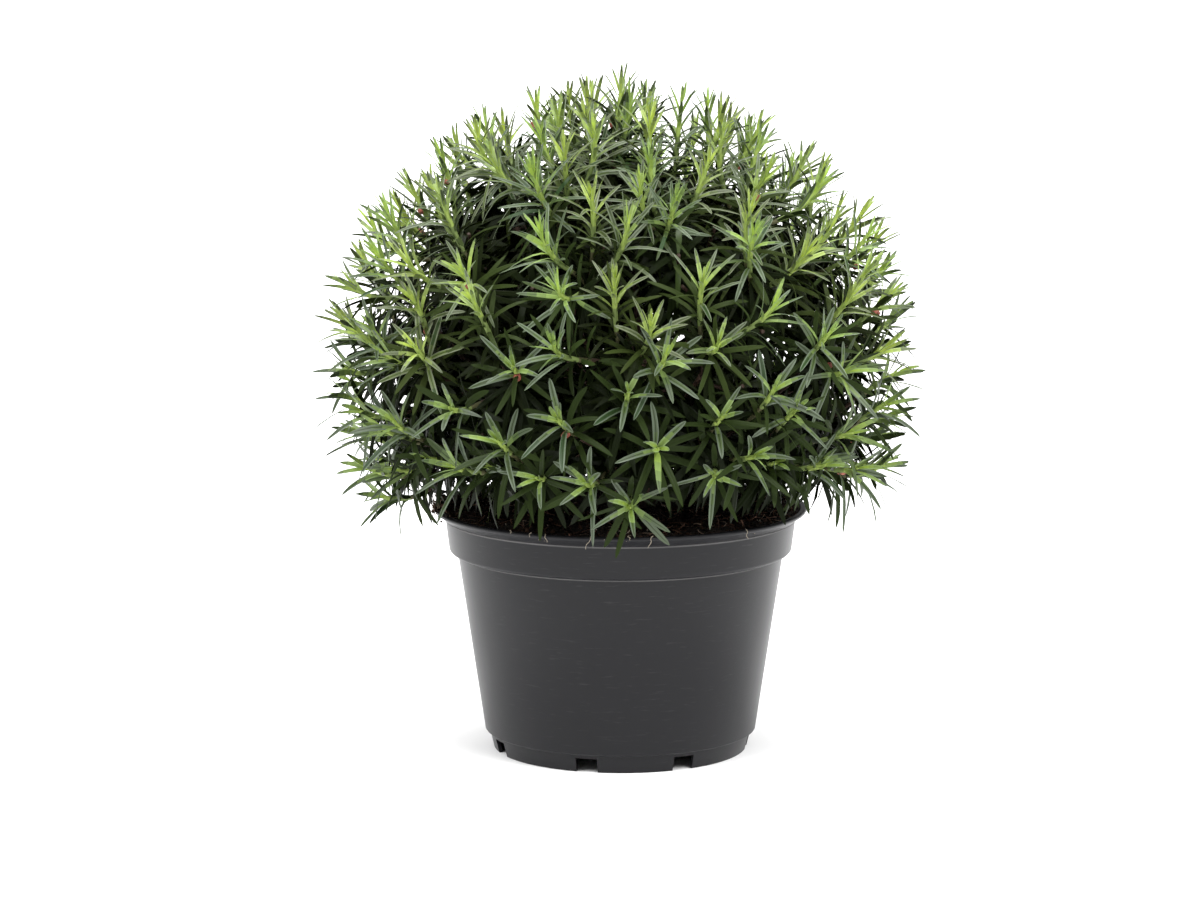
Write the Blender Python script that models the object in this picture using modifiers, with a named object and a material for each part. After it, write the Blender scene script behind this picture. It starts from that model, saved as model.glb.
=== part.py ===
"""Potted podocarpus: a young dome-shaped shrub in a plastic nursery pot.

Metres, +Z up. The origin is on the pot's axis, on the ground that the pot stands on,
and the side that the plant shows first faces -Y. The pot is a turned shell, the soil
fills it, a short leaning stem stands on the soil, and one tapering bough runs from the
stem to each mass of foliage. The masses part the dome between them like cells.
"""

import random
from math import atan2, cos, exp, hypot, log, pi, radians, sin, sqrt, tau

import bmesh
import bpy
from mathutils import Matrix, Vector, noise
from mathutils.bvhtree import BVHTree

# Clearance between pieces that touch
GAP = 0.0003

# Pot: a thin turned shell with a flared lip, a collar, a tapering body and a foot ring
POT_HEIGHT = 0.138
LIP_RADIUS = 0.105
LIP_FLARE_HEIGHT = 0.0066
LIP_EDGE = 0.0012
LIP_EDGE_BEVEL = 0.0004
LIP_MIDDLE_INSET = 0.0031
LIP_MIDDLE_DROP = 0.0021
COLLAR_TOP_RADIUS = 0.0985
COLLAR_BOTTOM_RADIUS = 0.0967
COLLAR_HEIGHT = 0.0165
SHOULDER_DROP = 0.0030
BODY_TOP_RADIUS = 0.0913
BODY_BOTTOM_RADIUS = 0.0767
STEP_HEIGHT = 0.0112
STEP_DROP = 0.0016
FOOT_TOP_RADIUS = 0.0741
FOOT_BOTTOM_RADIUS = 0.0718
FOOT_RING_WIDTH = 0.0022
WALL = 0.0013
BASE_UNDERSIDE = 0.0088
BASE_THICKNESS = 0.0016
TURN_STEPS = 48
ARC_STEPS = 3

# Drain notches round the foot ring, by their angle from the front towards +X
NOTCH_WIDTH = 0.0122
NOTCH_HEIGHT = 0.0081
NOTCH_FRONT_ANGLES = (-67.5, -15.2, 28.4, 82.6)
NOTCHES_BEHIND = 3
DRAIN_SLOT_INNER_RADIUS = 0.056
DRAIN_SLOT_OUTER_RADIUS = 0.066
CUTTER_MARGIN = 0.004

# Soil, heaped to the rim
SOIL_SIDE_CLEARANCE = 0.0005
SOIL_EDGE_DROP = 0.0052
SOIL_HEAP = 0.0045
SOIL_LUMP = 0.0022
SOIL_LUMP_SIZE = 0.028
SOIL_TOP_RINGS = (0.90, 0.74, 0.56, 0.38, 0.235)
SOIL_SEAT_SPREAD = 2.8

# Stem: a short trunk with its root flare, cut flat at the soil
STEM_FOOT = Vector((0.008, -0.004))
STEM_FORK = Vector((0.013, -0.001))
STEM_HEIGHT = 0.037
STEM_FLARE_RADIUS = 0.0112
STEM_RADIUS = 0.0074
STEM_FORK_RADIUS = 0.0060
STEM_FLARE_SHARE = 0.45
STEM_RINGS = 8

# Crown: the dome that the shoot tips reach
CROWN_CENTRE = Vector((0.0, 0.0, 0.235))
CROWN_TOP_REACH = 0.1465
CROWN_SIDE_REACH = 0.1682
CROWN_SKIRT_BULGE = 0.0065
CROWN_SKIRT_ANGLE = radians(52)
LEADER_RISE = 0.0048
LEADER_SPREAD = radians(9)
SHOOTS = 232
SHOOT_JITTER = 0.30
SHOOT_SEED = 11
DIP_BETWEEN_SHOOTS = 0.011
DIP_STARTS_AT = 0.25
DIP_WIDTH = 0.6
LOWEST_SHOOT_SINE = -0.74

# The bare space inside the crown, round the stems
HOLLOW_CENTRE = Vector((0.0, 0.0, 0.213))
HOLLOW_RADIUS = 0.062
HOLLOW_HALF_HEIGHT = 0.076

# How the crown clears the pot, and how low its skirt hangs outside the lip
RIM_CLEARANCE = 0.014
LIP_SIDE_CLEARANCE = 0.011
SKIRT_BOTTOM_SIDES = 0.1145
SKIRT_BOTTOM_FRONT = 0.143

# Masses: one on top, a ring above and a ring below
UPPER_MASSES = 5
UPPER_ELEVATION = radians(45)
UPPER_TURN = radians(20)
LOWER_MASSES = 8
LOWER_ELEVATION = radians(-3)
LOWER_TURN = radians(8)
SITE_JITTER = radians(5)
SITE_SEED = 5
MASS_GAP = 0.0012
MASS_CENTRE_REACH = 0.114
MASS_SUBDIVISIONS = 3
MASS_SPREAD = 1.15
EDGE_ROUNDING = 0.0035

# Boughs
BOUGH_BASE_RADIUS = 0.0024
BOUGH_TIP_RADIUS = 0.0015
LEADER_BASE_RADIUS = 0.0030
BOUGH_POINTS = 7
BOUGH_SIDES_RESOLUTION = 2
LOWER_BOUGH_START = 0.40
UPPER_BOUGH_START = 0.72
LOWER_BOUGH_RISE = radians(20)
BOUGH_BEND_SHARE = 0.26
UPPER_BOUGH_RISE = radians(46)

COLLECTION_NAME = "Potted podocarpus"
CUTTER_COLLECTION_NAME = "Cutters"


# Scene and materials
def clear_scene():
    for old in list(bpy.data.objects):
        bpy.data.objects.remove(old, do_unlink=True)


def new_collection(name):
    collection = bpy.data.collections.new(name)
    bpy.context.scene.collection.children.link(collection)
    return collection


def principled(name, colour, roughness):
    material = bpy.data.materials.new(name)
    material.use_nodes = True
    shader = material.node_tree.nodes["Principled BSDF"]
    shader.inputs["Base Color"].default_value = (*colour, 1.0)
    shader.inputs["Roughness"].default_value = roughness
    shader.inputs["Metallic"].default_value = 0.0
    return material


def add_object(name, data, collection, material=None):
    obj = bpy.data.objects.new(name, data)
    collection.objects.link(obj)
    if material:
        data.materials.append(material)
    return obj


def smooth_mesh(mesh, angle=radians(35)):
    mesh.shade_smooth()
    mesh.set_sharp_from_angle(angle=angle)


# Turned shapes
def arc_points(centre, radii, start, end, steps):
    """Points on an elliptic arc, its first point left out."""
    points = []
    for i in range(1, steps + 1):
        angle = start + (end - start) * i / steps
        points.append((centre[0] + radii[0] * cos(angle), centre[1] + radii[1] * sin(angle)))
    return points


def turned_mesh(name, profile):
    """A closed turned mesh from a profile that begins and ends on the axis."""
    mesh = bpy.data.meshes.new(name + "_profile")
    mesh.from_pydata([(r, 0.0, z) for r, z in profile], [(i, i + 1) for i in range(len(profile) - 1)], [])
    obj = bpy.data.objects.new(name + "_profile", mesh)
    bpy.context.scene.collection.objects.link(obj)
    screw = obj.modifiers.new("Turn", "SCREW")
    screw.angle = tau
    screw.steps = TURN_STEPS
    screw.render_steps = TURN_STEPS
    screw.use_merge_vertices = True
    screw.merge_threshold = 0.00001
    bpy.context.view_layer.update()
    turned = bpy.data.meshes.new_from_object(obj.evaluated_get(bpy.context.evaluated_depsgraph_get()))
    turned.name = name
    bpy.data.objects.remove(obj, do_unlink=True)
    return turned


# Pot
def pot_heights():
    collar_top = POT_HEIGHT - LIP_FLARE_HEIGHT
    shoulder_top = collar_top - COLLAR_HEIGHT
    return collar_top, shoulder_top, shoulder_top - SHOULDER_DROP


def pot_inner_profile():
    """The inside of the wall, from the floor of the pot up to the lip."""
    collar_top, shoulder_top, body_top = pot_heights()
    floor = BASE_UNDERSIDE + BASE_THICKNESS
    wall_foot = (BODY_BOTTOM_RADIUS - WALL, floor + WALL)
    body_end = (BODY_TOP_RADIUS - WALL, body_top + WALL)
    collar_foot = (COLLAR_BOTTOM_RADIUS - WALL, shoulder_top + WALL)
    return [
        (FOOT_TOP_RADIUS - WALL, floor),
        wall_foot,
        body_end,
        collar_foot,
        (COLLAR_TOP_RADIUS - WALL, collar_top),
        (LIP_RADIUS - LIP_MIDDLE_INSET, POT_HEIGHT - LIP_MIDDLE_DROP),
        (LIP_RADIUS - LIP_EDGE, POT_HEIGHT),
    ]


def pot_outer_profile():
    """The outside, from the lip down to the ground."""
    collar_top, shoulder_top, body_top = pot_heights()
    flare_width = LIP_RADIUS - COLLAR_TOP_RADIUS
    shoulder_width = COLLAR_BOTTOM_RADIUS - BODY_TOP_RADIUS
    flare_end = (LIP_RADIUS, POT_HEIGHT - 2 * LIP_EDGE)
    flare_drop = flare_end[1] - collar_top
    points = [(LIP_RADIUS - LIP_EDGE_BEVEL, POT_HEIGHT - LIP_EDGE_BEVEL), flare_end]
    points += arc_points(
        (COLLAR_TOP_RADIUS, flare_end[1]), (flare_width, flare_drop), 0.0, -pi / 2, ARC_STEPS
    )
    points.append((COLLAR_BOTTOM_RADIUS, shoulder_top))
    points += arc_points(
        (BODY_TOP_RADIUS, shoulder_top), (shoulder_width, SHOULDER_DROP), 0.0, -pi / 2, ARC_STEPS
    )
    points += [
        (BODY_BOTTOM_RADIUS, STEP_HEIGHT),
        (FOOT_TOP_RADIUS, STEP_HEIGHT - STEP_DROP),
        (FOOT_BOTTOM_RADIUS, 0.0),
    ]
    return points


def pot_profile():
    inside = [(0.0, BASE_UNDERSIDE + BASE_THICKNESS)] + pot_inner_profile()
    underside = [
        (FOOT_BOTTOM_RADIUS - FOOT_RING_WIDTH, 0.0),
        (FOOT_TOP_RADIUS - FOOT_RING_WIDTH, BASE_UNDERSIDE),
        (0.0, BASE_UNDERSIDE),
    ]
    return inside + pot_outer_profile() + underside


def notch_angles():
    """The notches that face the front, then those behind, spread over the rest of the ring."""
    first, last = NOTCH_FRONT_ANGLES[0], NOTCH_FRONT_ANGLES[-1]
    pitch = (360 - (last - first)) / (NOTCHES_BEHIND + 1)
    return list(NOTCH_FRONT_ANGLES) + [last + pitch * (i + 1) for i in range(NOTCHES_BEHIND)]


def ring_of_boxes(name, inner_radius, outer_radius, bottom, top, collection):
    """One mesh of boxes set round the axis at the notches' angles."""
    bm = bmesh.new()
    middle = (inner_radius + outer_radius) / 2
    for angle in notch_angles():
        turn = Matrix.Rotation(radians(angle), 4, "Z")
        place = Matrix.Translation((0.0, -middle, (bottom + top) / 2))
        size = Matrix.Diagonal((NOTCH_WIDTH, outer_radius - inner_radius, top - bottom, 1.0))
        bmesh.ops.create_cube(bm, size=1.0, matrix=turn @ place @ size)
    mesh = bpy.data.meshes.new(name)
    bm.to_mesh(mesh)
    bm.free()
    cutter = add_object(name, mesh, collection)
    cutter.hide_render = True
    cutter.display_type = "WIRE"
    return cutter


def cut(obj, cutter):
    boolean = obj.modifiers.new(cutter.name, "BOOLEAN")
    boolean.operation = "DIFFERENCE"
    boolean.solver = "EXACT"
    boolean.object = cutter


def make_pot(parts, cutters):
    mesh = turned_mesh("pot", pot_profile())
    smooth_mesh(mesh)
    pot = add_object("pot", mesh, parts, principled("dark plastic", (0.045, 0.045, 0.048), 0.55))
    beyond_foot = FOOT_TOP_RADIUS + CUTTER_MARGIN
    notches = ring_of_boxes(
        "drain_notches", DRAIN_SLOT_INNER_RADIUS, beyond_foot, -CUTTER_MARGIN, NOTCH_HEIGHT, cutters
    )
    slots = ring_of_boxes(
        "drain_slots",
        DRAIN_SLOT_INNER_RADIUS,
        DRAIN_SLOT_OUTER_RADIUS,
        BASE_UNDERSIDE - CUTTER_MARGIN,
        BASE_UNDERSIDE + BASE_THICKNESS + CUTTER_MARGIN,
        cutters,
    )
    cut(pot, notches)
    cut(pot, slots)
    return pot


# Soil
def soil_profile():
    wall = [(r - SOIL_SIDE_CLEARANCE, z + GAP) for r, z in pot_inner_profile()[:5]]
    edge_radius = wall[-1][0]
    edge_height = POT_HEIGHT - SOIL_EDGE_DROP
    top = [(edge_radius * share, edge_height) for share in reversed(SOIL_TOP_RINGS)]
    return [(0.0, edge_height)] + top + [(edge_radius, edge_height)] + wall[::-1] + [(0.0, wall[0][1])]


def soil_height(x, y):
    """Heaped surface of the soil, flat where the stem's foot stands."""
    edge_radius = COLLAR_TOP_RADIUS - WALL - SOIL_SIDE_CLEARANCE
    heap = 1 - min(1.0, hypot(x, y) / edge_radius) ** 4
    lump = noise.noise(Vector((x / SOIL_LUMP_SIZE, y / SOIL_LUMP_SIZE, 3.7)))
    uneven = POT_HEIGHT - SOIL_EDGE_DROP + heap * SOIL_HEAP + heap * SOIL_LUMP * lump
    away = hypot(x - STEM_FOOT.x, y - STEM_FOOT.y)
    blend = min(1.0, max(0.0, away / STEM_FLARE_RADIUS - SOIL_SEAT_SPREAD))
    return soil_flat_height() + (uneven - soil_flat_height()) * blend


def soil_flat_height():
    return POT_HEIGHT - SOIL_EDGE_DROP + SOIL_HEAP


def make_soil(parts):
    mesh = turned_mesh("soil", soil_profile())
    surface = POT_HEIGHT - SOIL_EDGE_DROP - 0.0001
    for vertex in mesh.vertices:
        if vertex.co.z > surface:
            vertex.co.z = soil_height(vertex.co.x, vertex.co.y)
    return add_object("soil", mesh, parts, principled("potting soil", (0.018, 0.012, 0.009), 0.95))


# Limbs
def limb_object(name, points, radii, resolution, parts, material):
    """A tapering limb: a straight-run spline with a round section that narrows."""
    curve = bpy.data.curves.new(name, "CURVE")
    curve.dimensions = "3D"
    curve.bevel_depth = 1.0
    curve.bevel_resolution = resolution
    curve.use_fill_caps = True
    spline = curve.splines.new("POLY")
    spline.points.add(len(points) - 1)
    for point, place, radius in zip(spline.points, points, radii):
        point.co = (*place, 1.0)
        point.radius = radius
    return add_object(name, curve, parts, material)


def stem_point(share):
    """The stem's centre line, upright at its foot and leaning above."""
    foot_height = soil_flat_height() + GAP
    lean = share * share * (3 - 2 * share)
    across = STEM_FOOT.lerp(STEM_FORK, lean)
    return Vector((across.x, across.y, foot_height + STEM_HEIGHT * share))


def stem_radius(share):
    flare = (STEM_FLARE_RADIUS - STEM_RADIUS) * (1 - min(1.0, share / STEM_FLARE_SHARE)) ** 2
    return flare + STEM_RADIUS + (STEM_FORK_RADIUS - STEM_RADIUS) * share


def make_trunk(parts, bark):
    shares = [i / (STEM_RINGS - 1) for i in range(STEM_RINGS)]
    points = [stem_point(share) for share in shares]
    points[1].xy = points[0].xy
    return limb_object("trunk", points, [stem_radius(share) for share in shares], 4, parts, bark)


def solid_tree(obj):
    """A search tree over an object's faces, and nothing kept in the file."""
    graph = bpy.context.evaluated_depsgraph_get()
    mesh = bpy.data.meshes.new_from_object(obj.evaluated_get(graph))
    tree = BVHTree.FromPolygons(
        [obj.matrix_world @ v.co for v in mesh.vertices], [tuple(p.vertices) for p in mesh.polygons]
    )
    bpy.data.meshes.remove(mesh)
    return tree


# Crown outline
def direction(azimuth, elevation):
    return Vector((cos(azimuth) * cos(elevation), sin(azimuth) * cos(elevation), sin(elevation)))


def shoot_directions():
    """Shoot tips spread evenly over the dome on a golden-angle spiral, then jittered."""
    rng = random.Random(SHOOT_SEED)
    golden = pi * (3 - sqrt(5))
    spacing = sqrt(2 * tau / SHOOTS)
    shoots = []
    for i in range(SHOOTS):
        height = 1 - (1 - LOWEST_SHOOT_SINE) * (i + 0.5) / SHOOTS
        ring = sqrt(1 - height * height)
        place = Vector((ring * cos(golden * i), ring * sin(golden * i), height))
        shift = Vector((rng.gauss(0, 1), rng.gauss(0, 1), rng.gauss(0, 1)))
        shoots.append((place + shift * spacing * SHOOT_JITTER / 2).normalized())
    return shoots


def smooth_reach(towards):
    """Distance from the crown's centre to its outline, without the dips between shoots."""
    side = hypot(towards.x, towards.y)
    if towards.z >= 0:
        reach = CROWN_TOP_REACH + (CROWN_SIDE_REACH - CROWN_TOP_REACH) * side ** 3
    else:
        below = min(1.0, -towards.z / sin(CROWN_SKIRT_ANGLE))
        reach = CROWN_SIDE_REACH + CROWN_SKIRT_BULGE * sin(pi * below)
    leader = max(0.0, 1 - towards.angle(Vector((0, 0, 1)), 0.0) / LEADER_SPREAD)
    return reach + LEADER_RISE * leader


def crown_reach(towards, shoots):
    """Distance to the uneven outline, which is furthest at a shoot and dips between."""
    spacing = sqrt(2 * tau / SHOOTS)
    nearest = min((towards - shoot).length for shoot in shoots)
    dip = min(1.0, max(0.0, nearest / spacing - DIP_STARTS_AT) / DIP_WIDTH)
    return smooth_reach(towards) - DIP_BETWEEN_SHOOTS * dip


# Masses
def mass_sites():
    """Name and direction of each mass from the crown's centre."""
    rng = random.Random(SITE_SEED)
    sites = [("foliage_top", Vector((0.0, 0.0, 1.0)))]
    rings = (
        ("foliage_upper", UPPER_MASSES, UPPER_ELEVATION, UPPER_TURN),
        ("foliage_lower", LOWER_MASSES, LOWER_ELEVATION, LOWER_TURN),
    )
    for label, count, elevation, turn in rings:
        for i in range(count):
            azimuth = turn + tau * i / count + rng.uniform(-1, 1) * SITE_JITTER
            raised = elevation + rng.uniform(-1, 1) * SITE_JITTER
            sites.append((f"{label}_{i + 1}", direction(azimuth, raised)))
    return sites


def skirt_bottom(point):
    """The skirt hangs low only at the two sides, beyond the pot's lip."""
    side = abs(point.x) / max(1e-6, hypot(point.x, point.y))
    return SKIRT_BOTTOM_FRONT + (SKIRT_BOTTOM_SIDES - SKIRT_BOTTOM_FRONT) * side**6


def rounded_largest(values, rounding):
    """The largest of some distances, a little more where two are alike, which rounds edges."""
    largest = max(values)
    return largest + rounding * log(sum(exp((value - largest) / rounding) for value in values))


def outside_by(point, site, others, shoots):
    """How far outside the mass that grows towards site a point lies, below 0 inside it."""
    offset = point - CROWN_CENTRE
    away = offset.length
    distances = [offset.dot((other - site).normalized()) + MASS_GAP / 2 for other in others]
    bare = point - HOLLOW_CENTRE
    hollow = sqrt((hypot(bare.x, bare.y) / HOLLOW_RADIUS) ** 2 + (bare.z / HOLLOW_HALF_HEIGHT) ** 2)
    distances.append((1 - hollow) * HOLLOW_RADIUS)
    beside_pot = LIP_RADIUS + LIP_SIDE_CLEARANCE - hypot(point.x, point.y)
    distances.append(min(beside_pot, POT_HEIGHT + RIM_CLEARANCE - point.z))
    distances.append(skirt_bottom(point) - point.z)
    reach = CROWN_TOP_REACH - DIP_BETWEEN_SHOOTS
    if away > reach - 4 * EDGE_ROUNDING:
        reach = crown_reach(offset / away, shoots)
    distances.append(away - reach)
    return rounded_largest(distances, EDGE_ROUNDING)


def edge_distance(start, towards, inside, step=0.003, halvings=12):
    """How far from start the first edge of a region lies."""
    near, far = 0.0, step
    while inside(start + towards * far):
        near, far = far, far + step
    for _ in range(halvings):
        middle = (near + far) / 2
        if inside(start + towards * middle):
            near = middle
        else:
            far = middle
    return near


def mass_centre(site):
    return CROWN_CENTRE + site * MASS_CENTRE_REACH


def make_mass(name, site, others, shoots, parts, leaves):
    """An icosphere whose points move out from the mass's centre to its edge."""
    centre = mass_centre(site)
    near_shoots = [shoot for shoot in shoots if (shoot - site).length < MASS_SPREAD]

    def inside(point):
        return outside_by(point, site, others, near_shoots) < 0

    bm = bmesh.new()
    bmesh.ops.create_icosphere(bm, subdivisions=MASS_SUBDIVISIONS, radius=1.0)
    facing = site.to_track_quat("Z", "Y")
    for vertex in bm.verts:
        towards = facing @ vertex.co.normalized()
        vertex.co = centre + towards * edge_distance(centre, towards, inside)
    mesh = bpy.data.meshes.new(name)
    bm.to_mesh(mesh)
    bm.free()
    return add_object(name, mesh, parts, leaves)


# Boughs
def circle_points(centre, axis, radius, count=12):
    """Points round a limb's end, and its centre."""
    turn = axis.to_track_quat("Z", "Y")
    ring = [turn @ Vector((cos(tau * i / count), sin(tau * i / count), 0)) * radius for i in range(count)]
    return [centre] + [centre + offset for offset in ring]


def free_run(tree, centre, axis, radius):
    """How far a round end can go along axis before any of it meets the solid."""
    hits = [tree.ray_cast(point, axis)[3] for point in circle_points(centre, axis, radius)]
    return min(hit for hit in hits if hit is not None)


def bough_start(share, azimuth, rise, stem_tree):
    """The end that sits on the stem: its centre and the way it leaves."""
    leaves_along = direction(azimuth, rise)
    beyond = stem_point(share) + leaves_along * 4 * STEM_RADIUS
    run = free_run(stem_tree, beyond, -leaves_along, BOUGH_BASE_RADIUS)
    return beyond - leaves_along * (run - GAP), leaves_along


def bough_path(start, leaves_along, aim, mass_tree):
    """Points of a bough that bends towards its mass and stops where it enters it."""
    straight_run = free_run(mass_tree, start, (aim - start).normalized(), BOUGH_TIP_RADIUS)
    bend = start + leaves_along * straight_run * BOUGH_BEND_SHARE
    enters_along = (aim - bend).normalized()
    run = free_run(mass_tree, bend, enters_along, BOUGH_TIP_RADIUS)
    end = bend + enters_along * (run - GAP)
    points = []
    for i in range(BOUGH_POINTS):
        t = i / (BOUGH_POINTS - 1)
        points.append(start * (1 - t) ** 2 + bend * 2 * t * (1 - t) + end * t * t)
    # straight ends, so that each flat cut faces its seat squarely
    points[1] = start + leaves_along * (points[1] - start).length
    points[-2] = end - enters_along * (points[-2] - end).length
    return points


def make_bough(name, site, start, leaves_along, base_radius, mass, parts, bark):
    points = bough_path(start, leaves_along, mass_centre(site), solid_tree(mass))
    shares = [i / (BOUGH_POINTS - 1) for i in range(BOUGH_POINTS)]
    radii = [base_radius + (BOUGH_TIP_RADIUS - base_radius) * share for share in shares]
    return limb_object(name, points, radii, BOUGH_SIDES_RESOLUTION, parts, bark)


def make_crown(trunk, parts, bark, leaves):
    sites = mass_sites()
    shoots = shoot_directions()
    stem_tree = solid_tree(trunk)
    for name, site in sites:
        others = [other for label, other in sites if label != name]
        mass = make_mass(name, site, others, shoots, parts, leaves)
        bpy.context.view_layer.update()
        azimuth = atan2(site.y, site.x)
        base_radius = BOUGH_BASE_RADIUS
        if name == "foliage_top":
            leaves_along = (stem_point(1.0) - stem_point(0.9)).normalized()
            start = stem_point(1.0) + leaves_along * GAP
            base_radius = LEADER_BASE_RADIUS
        elif name.startswith("foliage_upper"):
            start, leaves_along = bough_start(UPPER_BOUGH_START, azimuth, UPPER_BOUGH_RISE, stem_tree)
        else:
            start, leaves_along = bough_start(LOWER_BOUGH_START, azimuth, LOWER_BOUGH_RISE, stem_tree)
        bough_name = name.replace("foliage", "bough")
        make_bough(bough_name, site, start, leaves_along, base_radius, mass, parts, bark)


def main():
    clear_scene()
    parts = new_collection(COLLECTION_NAME)
    cutters = new_collection(CUTTER_COLLECTION_NAME)
    bark = principled("red-brown bark", (0.11, 0.06, 0.04), 0.85)
    leaves = principled("narrow green leaves", (0.11, 0.20, 0.06), 0.6)
    make_pot(parts, cutters)
    make_soil(parts)
    trunk = make_trunk(parts, bark)
    bpy.context.view_layer.update()
    make_crown(trunk, parts, bark, leaves)
    bpy.context.view_layer.update()


main()
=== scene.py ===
"""Looks of a potted podocarpus: pot, soil, bark, twigs, leaves and buds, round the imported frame.

Metres, +Z up. The origin is under the middle of the pot, on the ground it stands on, and the
side that the plant shows first faces -Y. Run as a script, it builds every piece in order; the
panel in the 3D view's sidebar lists the same steps.
"""

import random
from math import cos, hypot, pi, radians, sin, sqrt, tau

import bmesh
import bpy
import numpy as np
from bpy.props import FloatProperty, FloatVectorProperty, IntProperty, PointerProperty
from mathutils import Matrix, Vector, noise


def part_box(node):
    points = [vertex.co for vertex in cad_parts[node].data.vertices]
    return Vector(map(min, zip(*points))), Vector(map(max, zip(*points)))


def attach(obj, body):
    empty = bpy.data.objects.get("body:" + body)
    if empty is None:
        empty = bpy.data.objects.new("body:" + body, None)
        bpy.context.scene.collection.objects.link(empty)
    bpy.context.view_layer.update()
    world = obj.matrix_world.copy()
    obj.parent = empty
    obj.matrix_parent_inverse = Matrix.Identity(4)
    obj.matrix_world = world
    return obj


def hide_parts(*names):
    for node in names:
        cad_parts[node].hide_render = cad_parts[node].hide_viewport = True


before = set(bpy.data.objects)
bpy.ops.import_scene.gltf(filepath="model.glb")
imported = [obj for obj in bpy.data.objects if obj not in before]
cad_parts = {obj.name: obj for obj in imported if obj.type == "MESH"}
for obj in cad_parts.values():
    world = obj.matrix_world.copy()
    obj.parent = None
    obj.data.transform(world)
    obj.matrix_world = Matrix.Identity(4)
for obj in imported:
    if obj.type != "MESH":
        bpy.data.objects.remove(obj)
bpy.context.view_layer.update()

bl_info = {
    "name": "Potted podocarpus",
    "version": (1, 0, 0),
    "blender": (4, 5, 0),
    "location": "View3D > Sidebar > Podocarpus",
    "description": "Grows a potted podocarpus round its packed frame and sets up its studio",
    "category": "Add Mesh",
}

# Places read from the frame
POT_LOW, POT_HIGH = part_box("pot")
TRUNK_LOW, TRUNK_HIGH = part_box("trunk")
TRUNK_FOOT = np.array(((TRUNK_LOW.x + TRUNK_HIGH.x) / 2, (TRUNK_LOW.y + TRUNK_HIGH.y) / 2, TRUNK_LOW.z))
MASSES = sorted(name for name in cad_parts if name.startswith("foliage"))
BOUGHS = sorted(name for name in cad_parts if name.startswith("bough"))

# Rings of points that the frame's limbs are made of
TRUNK_RINGS = 8
BOUGH_RINGS = 7

# Pot, turned like the frame's
LIP_FLARE_HEIGHT = 0.0066
LIP_ROLL = 0.0013
BEAD = 0.0004
COLLAR_TOP_RADIUS = 0.0985
COLLAR_BOTTOM_RADIUS = 0.0967
COLLAR_HEIGHT = 0.0165
SHOULDER_DROP = 0.0030
BODY_TOP_RADIUS = 0.0913
BODY_BOTTOM_RADIUS = 0.0767
STEP_HEIGHT = 0.0112
STEP_DROP = 0.0016
FOOT_TOP_RADIUS = 0.0741
FOOT_BOTTOM_RADIUS = 0.0718
FOOT_RING_WIDTH = 0.0022
WALL = 0.0013
BASE_UNDERSIDE = 0.0088
BASE_THICKNESS = 0.0016
NOTCH_WIDTH = 0.0122
NOTCH_HEIGHT = 0.0081
NOTCH_FRONT_ANGLES = (-67.5, -15.2, 28.4, 82.6)
NOTCHES_BEHIND = 3
SLOT_RADII = (0.056, 0.066)
SOIL_RADIUS = 0.1008
POT_TURN_STEPS = 240

# Dry rootlets over the front of the lip: place across, length and lean
LIP_ROOTS = (
    (-0.0603, 0.0022, 0.0004),
    (-0.0490, 0.0030, -0.0010),
    (-0.0415, 0.0052, 0.0012),
    (-0.0160, 0.0078, -0.0036),
    (0.0035, 0.0026, 0.0014),
    (0.0168, 0.0070, -0.0022),
    (0.0680, 0.0064, 0.0008),
)
POT_ARC_STEPS = 8

# Crown outline, the same rule as the frame's masses
CROWN_CENTRE = np.array((0.0, 0.0, 0.235))
TOP_REACH = 0.1465
SIDE_REACH = 0.1682
SKIRT_BULGE = 0.0065
SKIRT_ANGLE = radians(52)
LEADER_RISE = 0.0048
LEADER_SPREAD = radians(9)
LOWEST_SHOOT_SINE = -0.74
SHOOT_JITTER = 0.34
LOWEST_TIP_SIDES = 0.150
LOWEST_TIP_FRONT = 0.167
LOWEST_TIP_CORNERS = 0.186
LOWEST_LEAFY_SINE = -0.50

UP = np.array((0.0, 0.0, 1.0))

# Soft lights above: name, place and part of the whole
LAMPS = (
    ("key_right", (1.0, -1.0, 1.65), 0.42),
    ("key_left", (-1.0, -0.9, 1.65), 0.32),
    ("key_behind", (-0.2, 0.8, 2.2), 0.26),
)


# Settings
def length(name, description, default):
    return FloatProperty(name=name, description=description, default=default, unit="LENGTH", precision=4)


def colour(name, description, default):
    return FloatVectorProperty(
        name=name, description=description, default=default, subtype="COLOR", min=0.0, max=1.0
    )


def share(name, description, default):
    return FloatProperty(name=name, description=description, default=default, min=0.0, max=1.0)


def angle(name, description, degrees):
    return FloatProperty(name=name, description=description, default=radians(degrees), subtype="ANGLE")


def count(name, description, default):
    return IntProperty(name=name, description=description, default=default, min=0)


class StageSettings(bpy.types.PropertyGroup):
    """Camera, floor and light."""

    camera_distance: length("Camera distance", "How far in front of the pot the camera stands", 2.2)
    camera_height: length("Camera height", "Height of the camera above the ground", 0.51156)
    camera_aside: length("Camera aside", "How far to the left of the pot the camera stands", 0.01156)
    camera_tilt: angle("Camera tilt", "How far the camera looks down", 8.84)
    camera_lens: FloatProperty(
        name="Lens", description="Focal length on a 36 mm sensor", default=118.62, unit="CAMERA"
    )
    floor_colour: colour("Floor", "Colour of the floor", (0.90, 0.90, 0.90))
    floor_radius: length("Floor radius", "Radius of the round floor", 30.0)
    sky_strength: FloatProperty(name="Surround", description="Light from the white surround", default=0.50)
    key_strength: FloatProperty(name="Key light", description="Strength of the soft lights above", default=8.4)
    key_spread: angle("Key spread", "How wide each soft light above is", 34)


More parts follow.
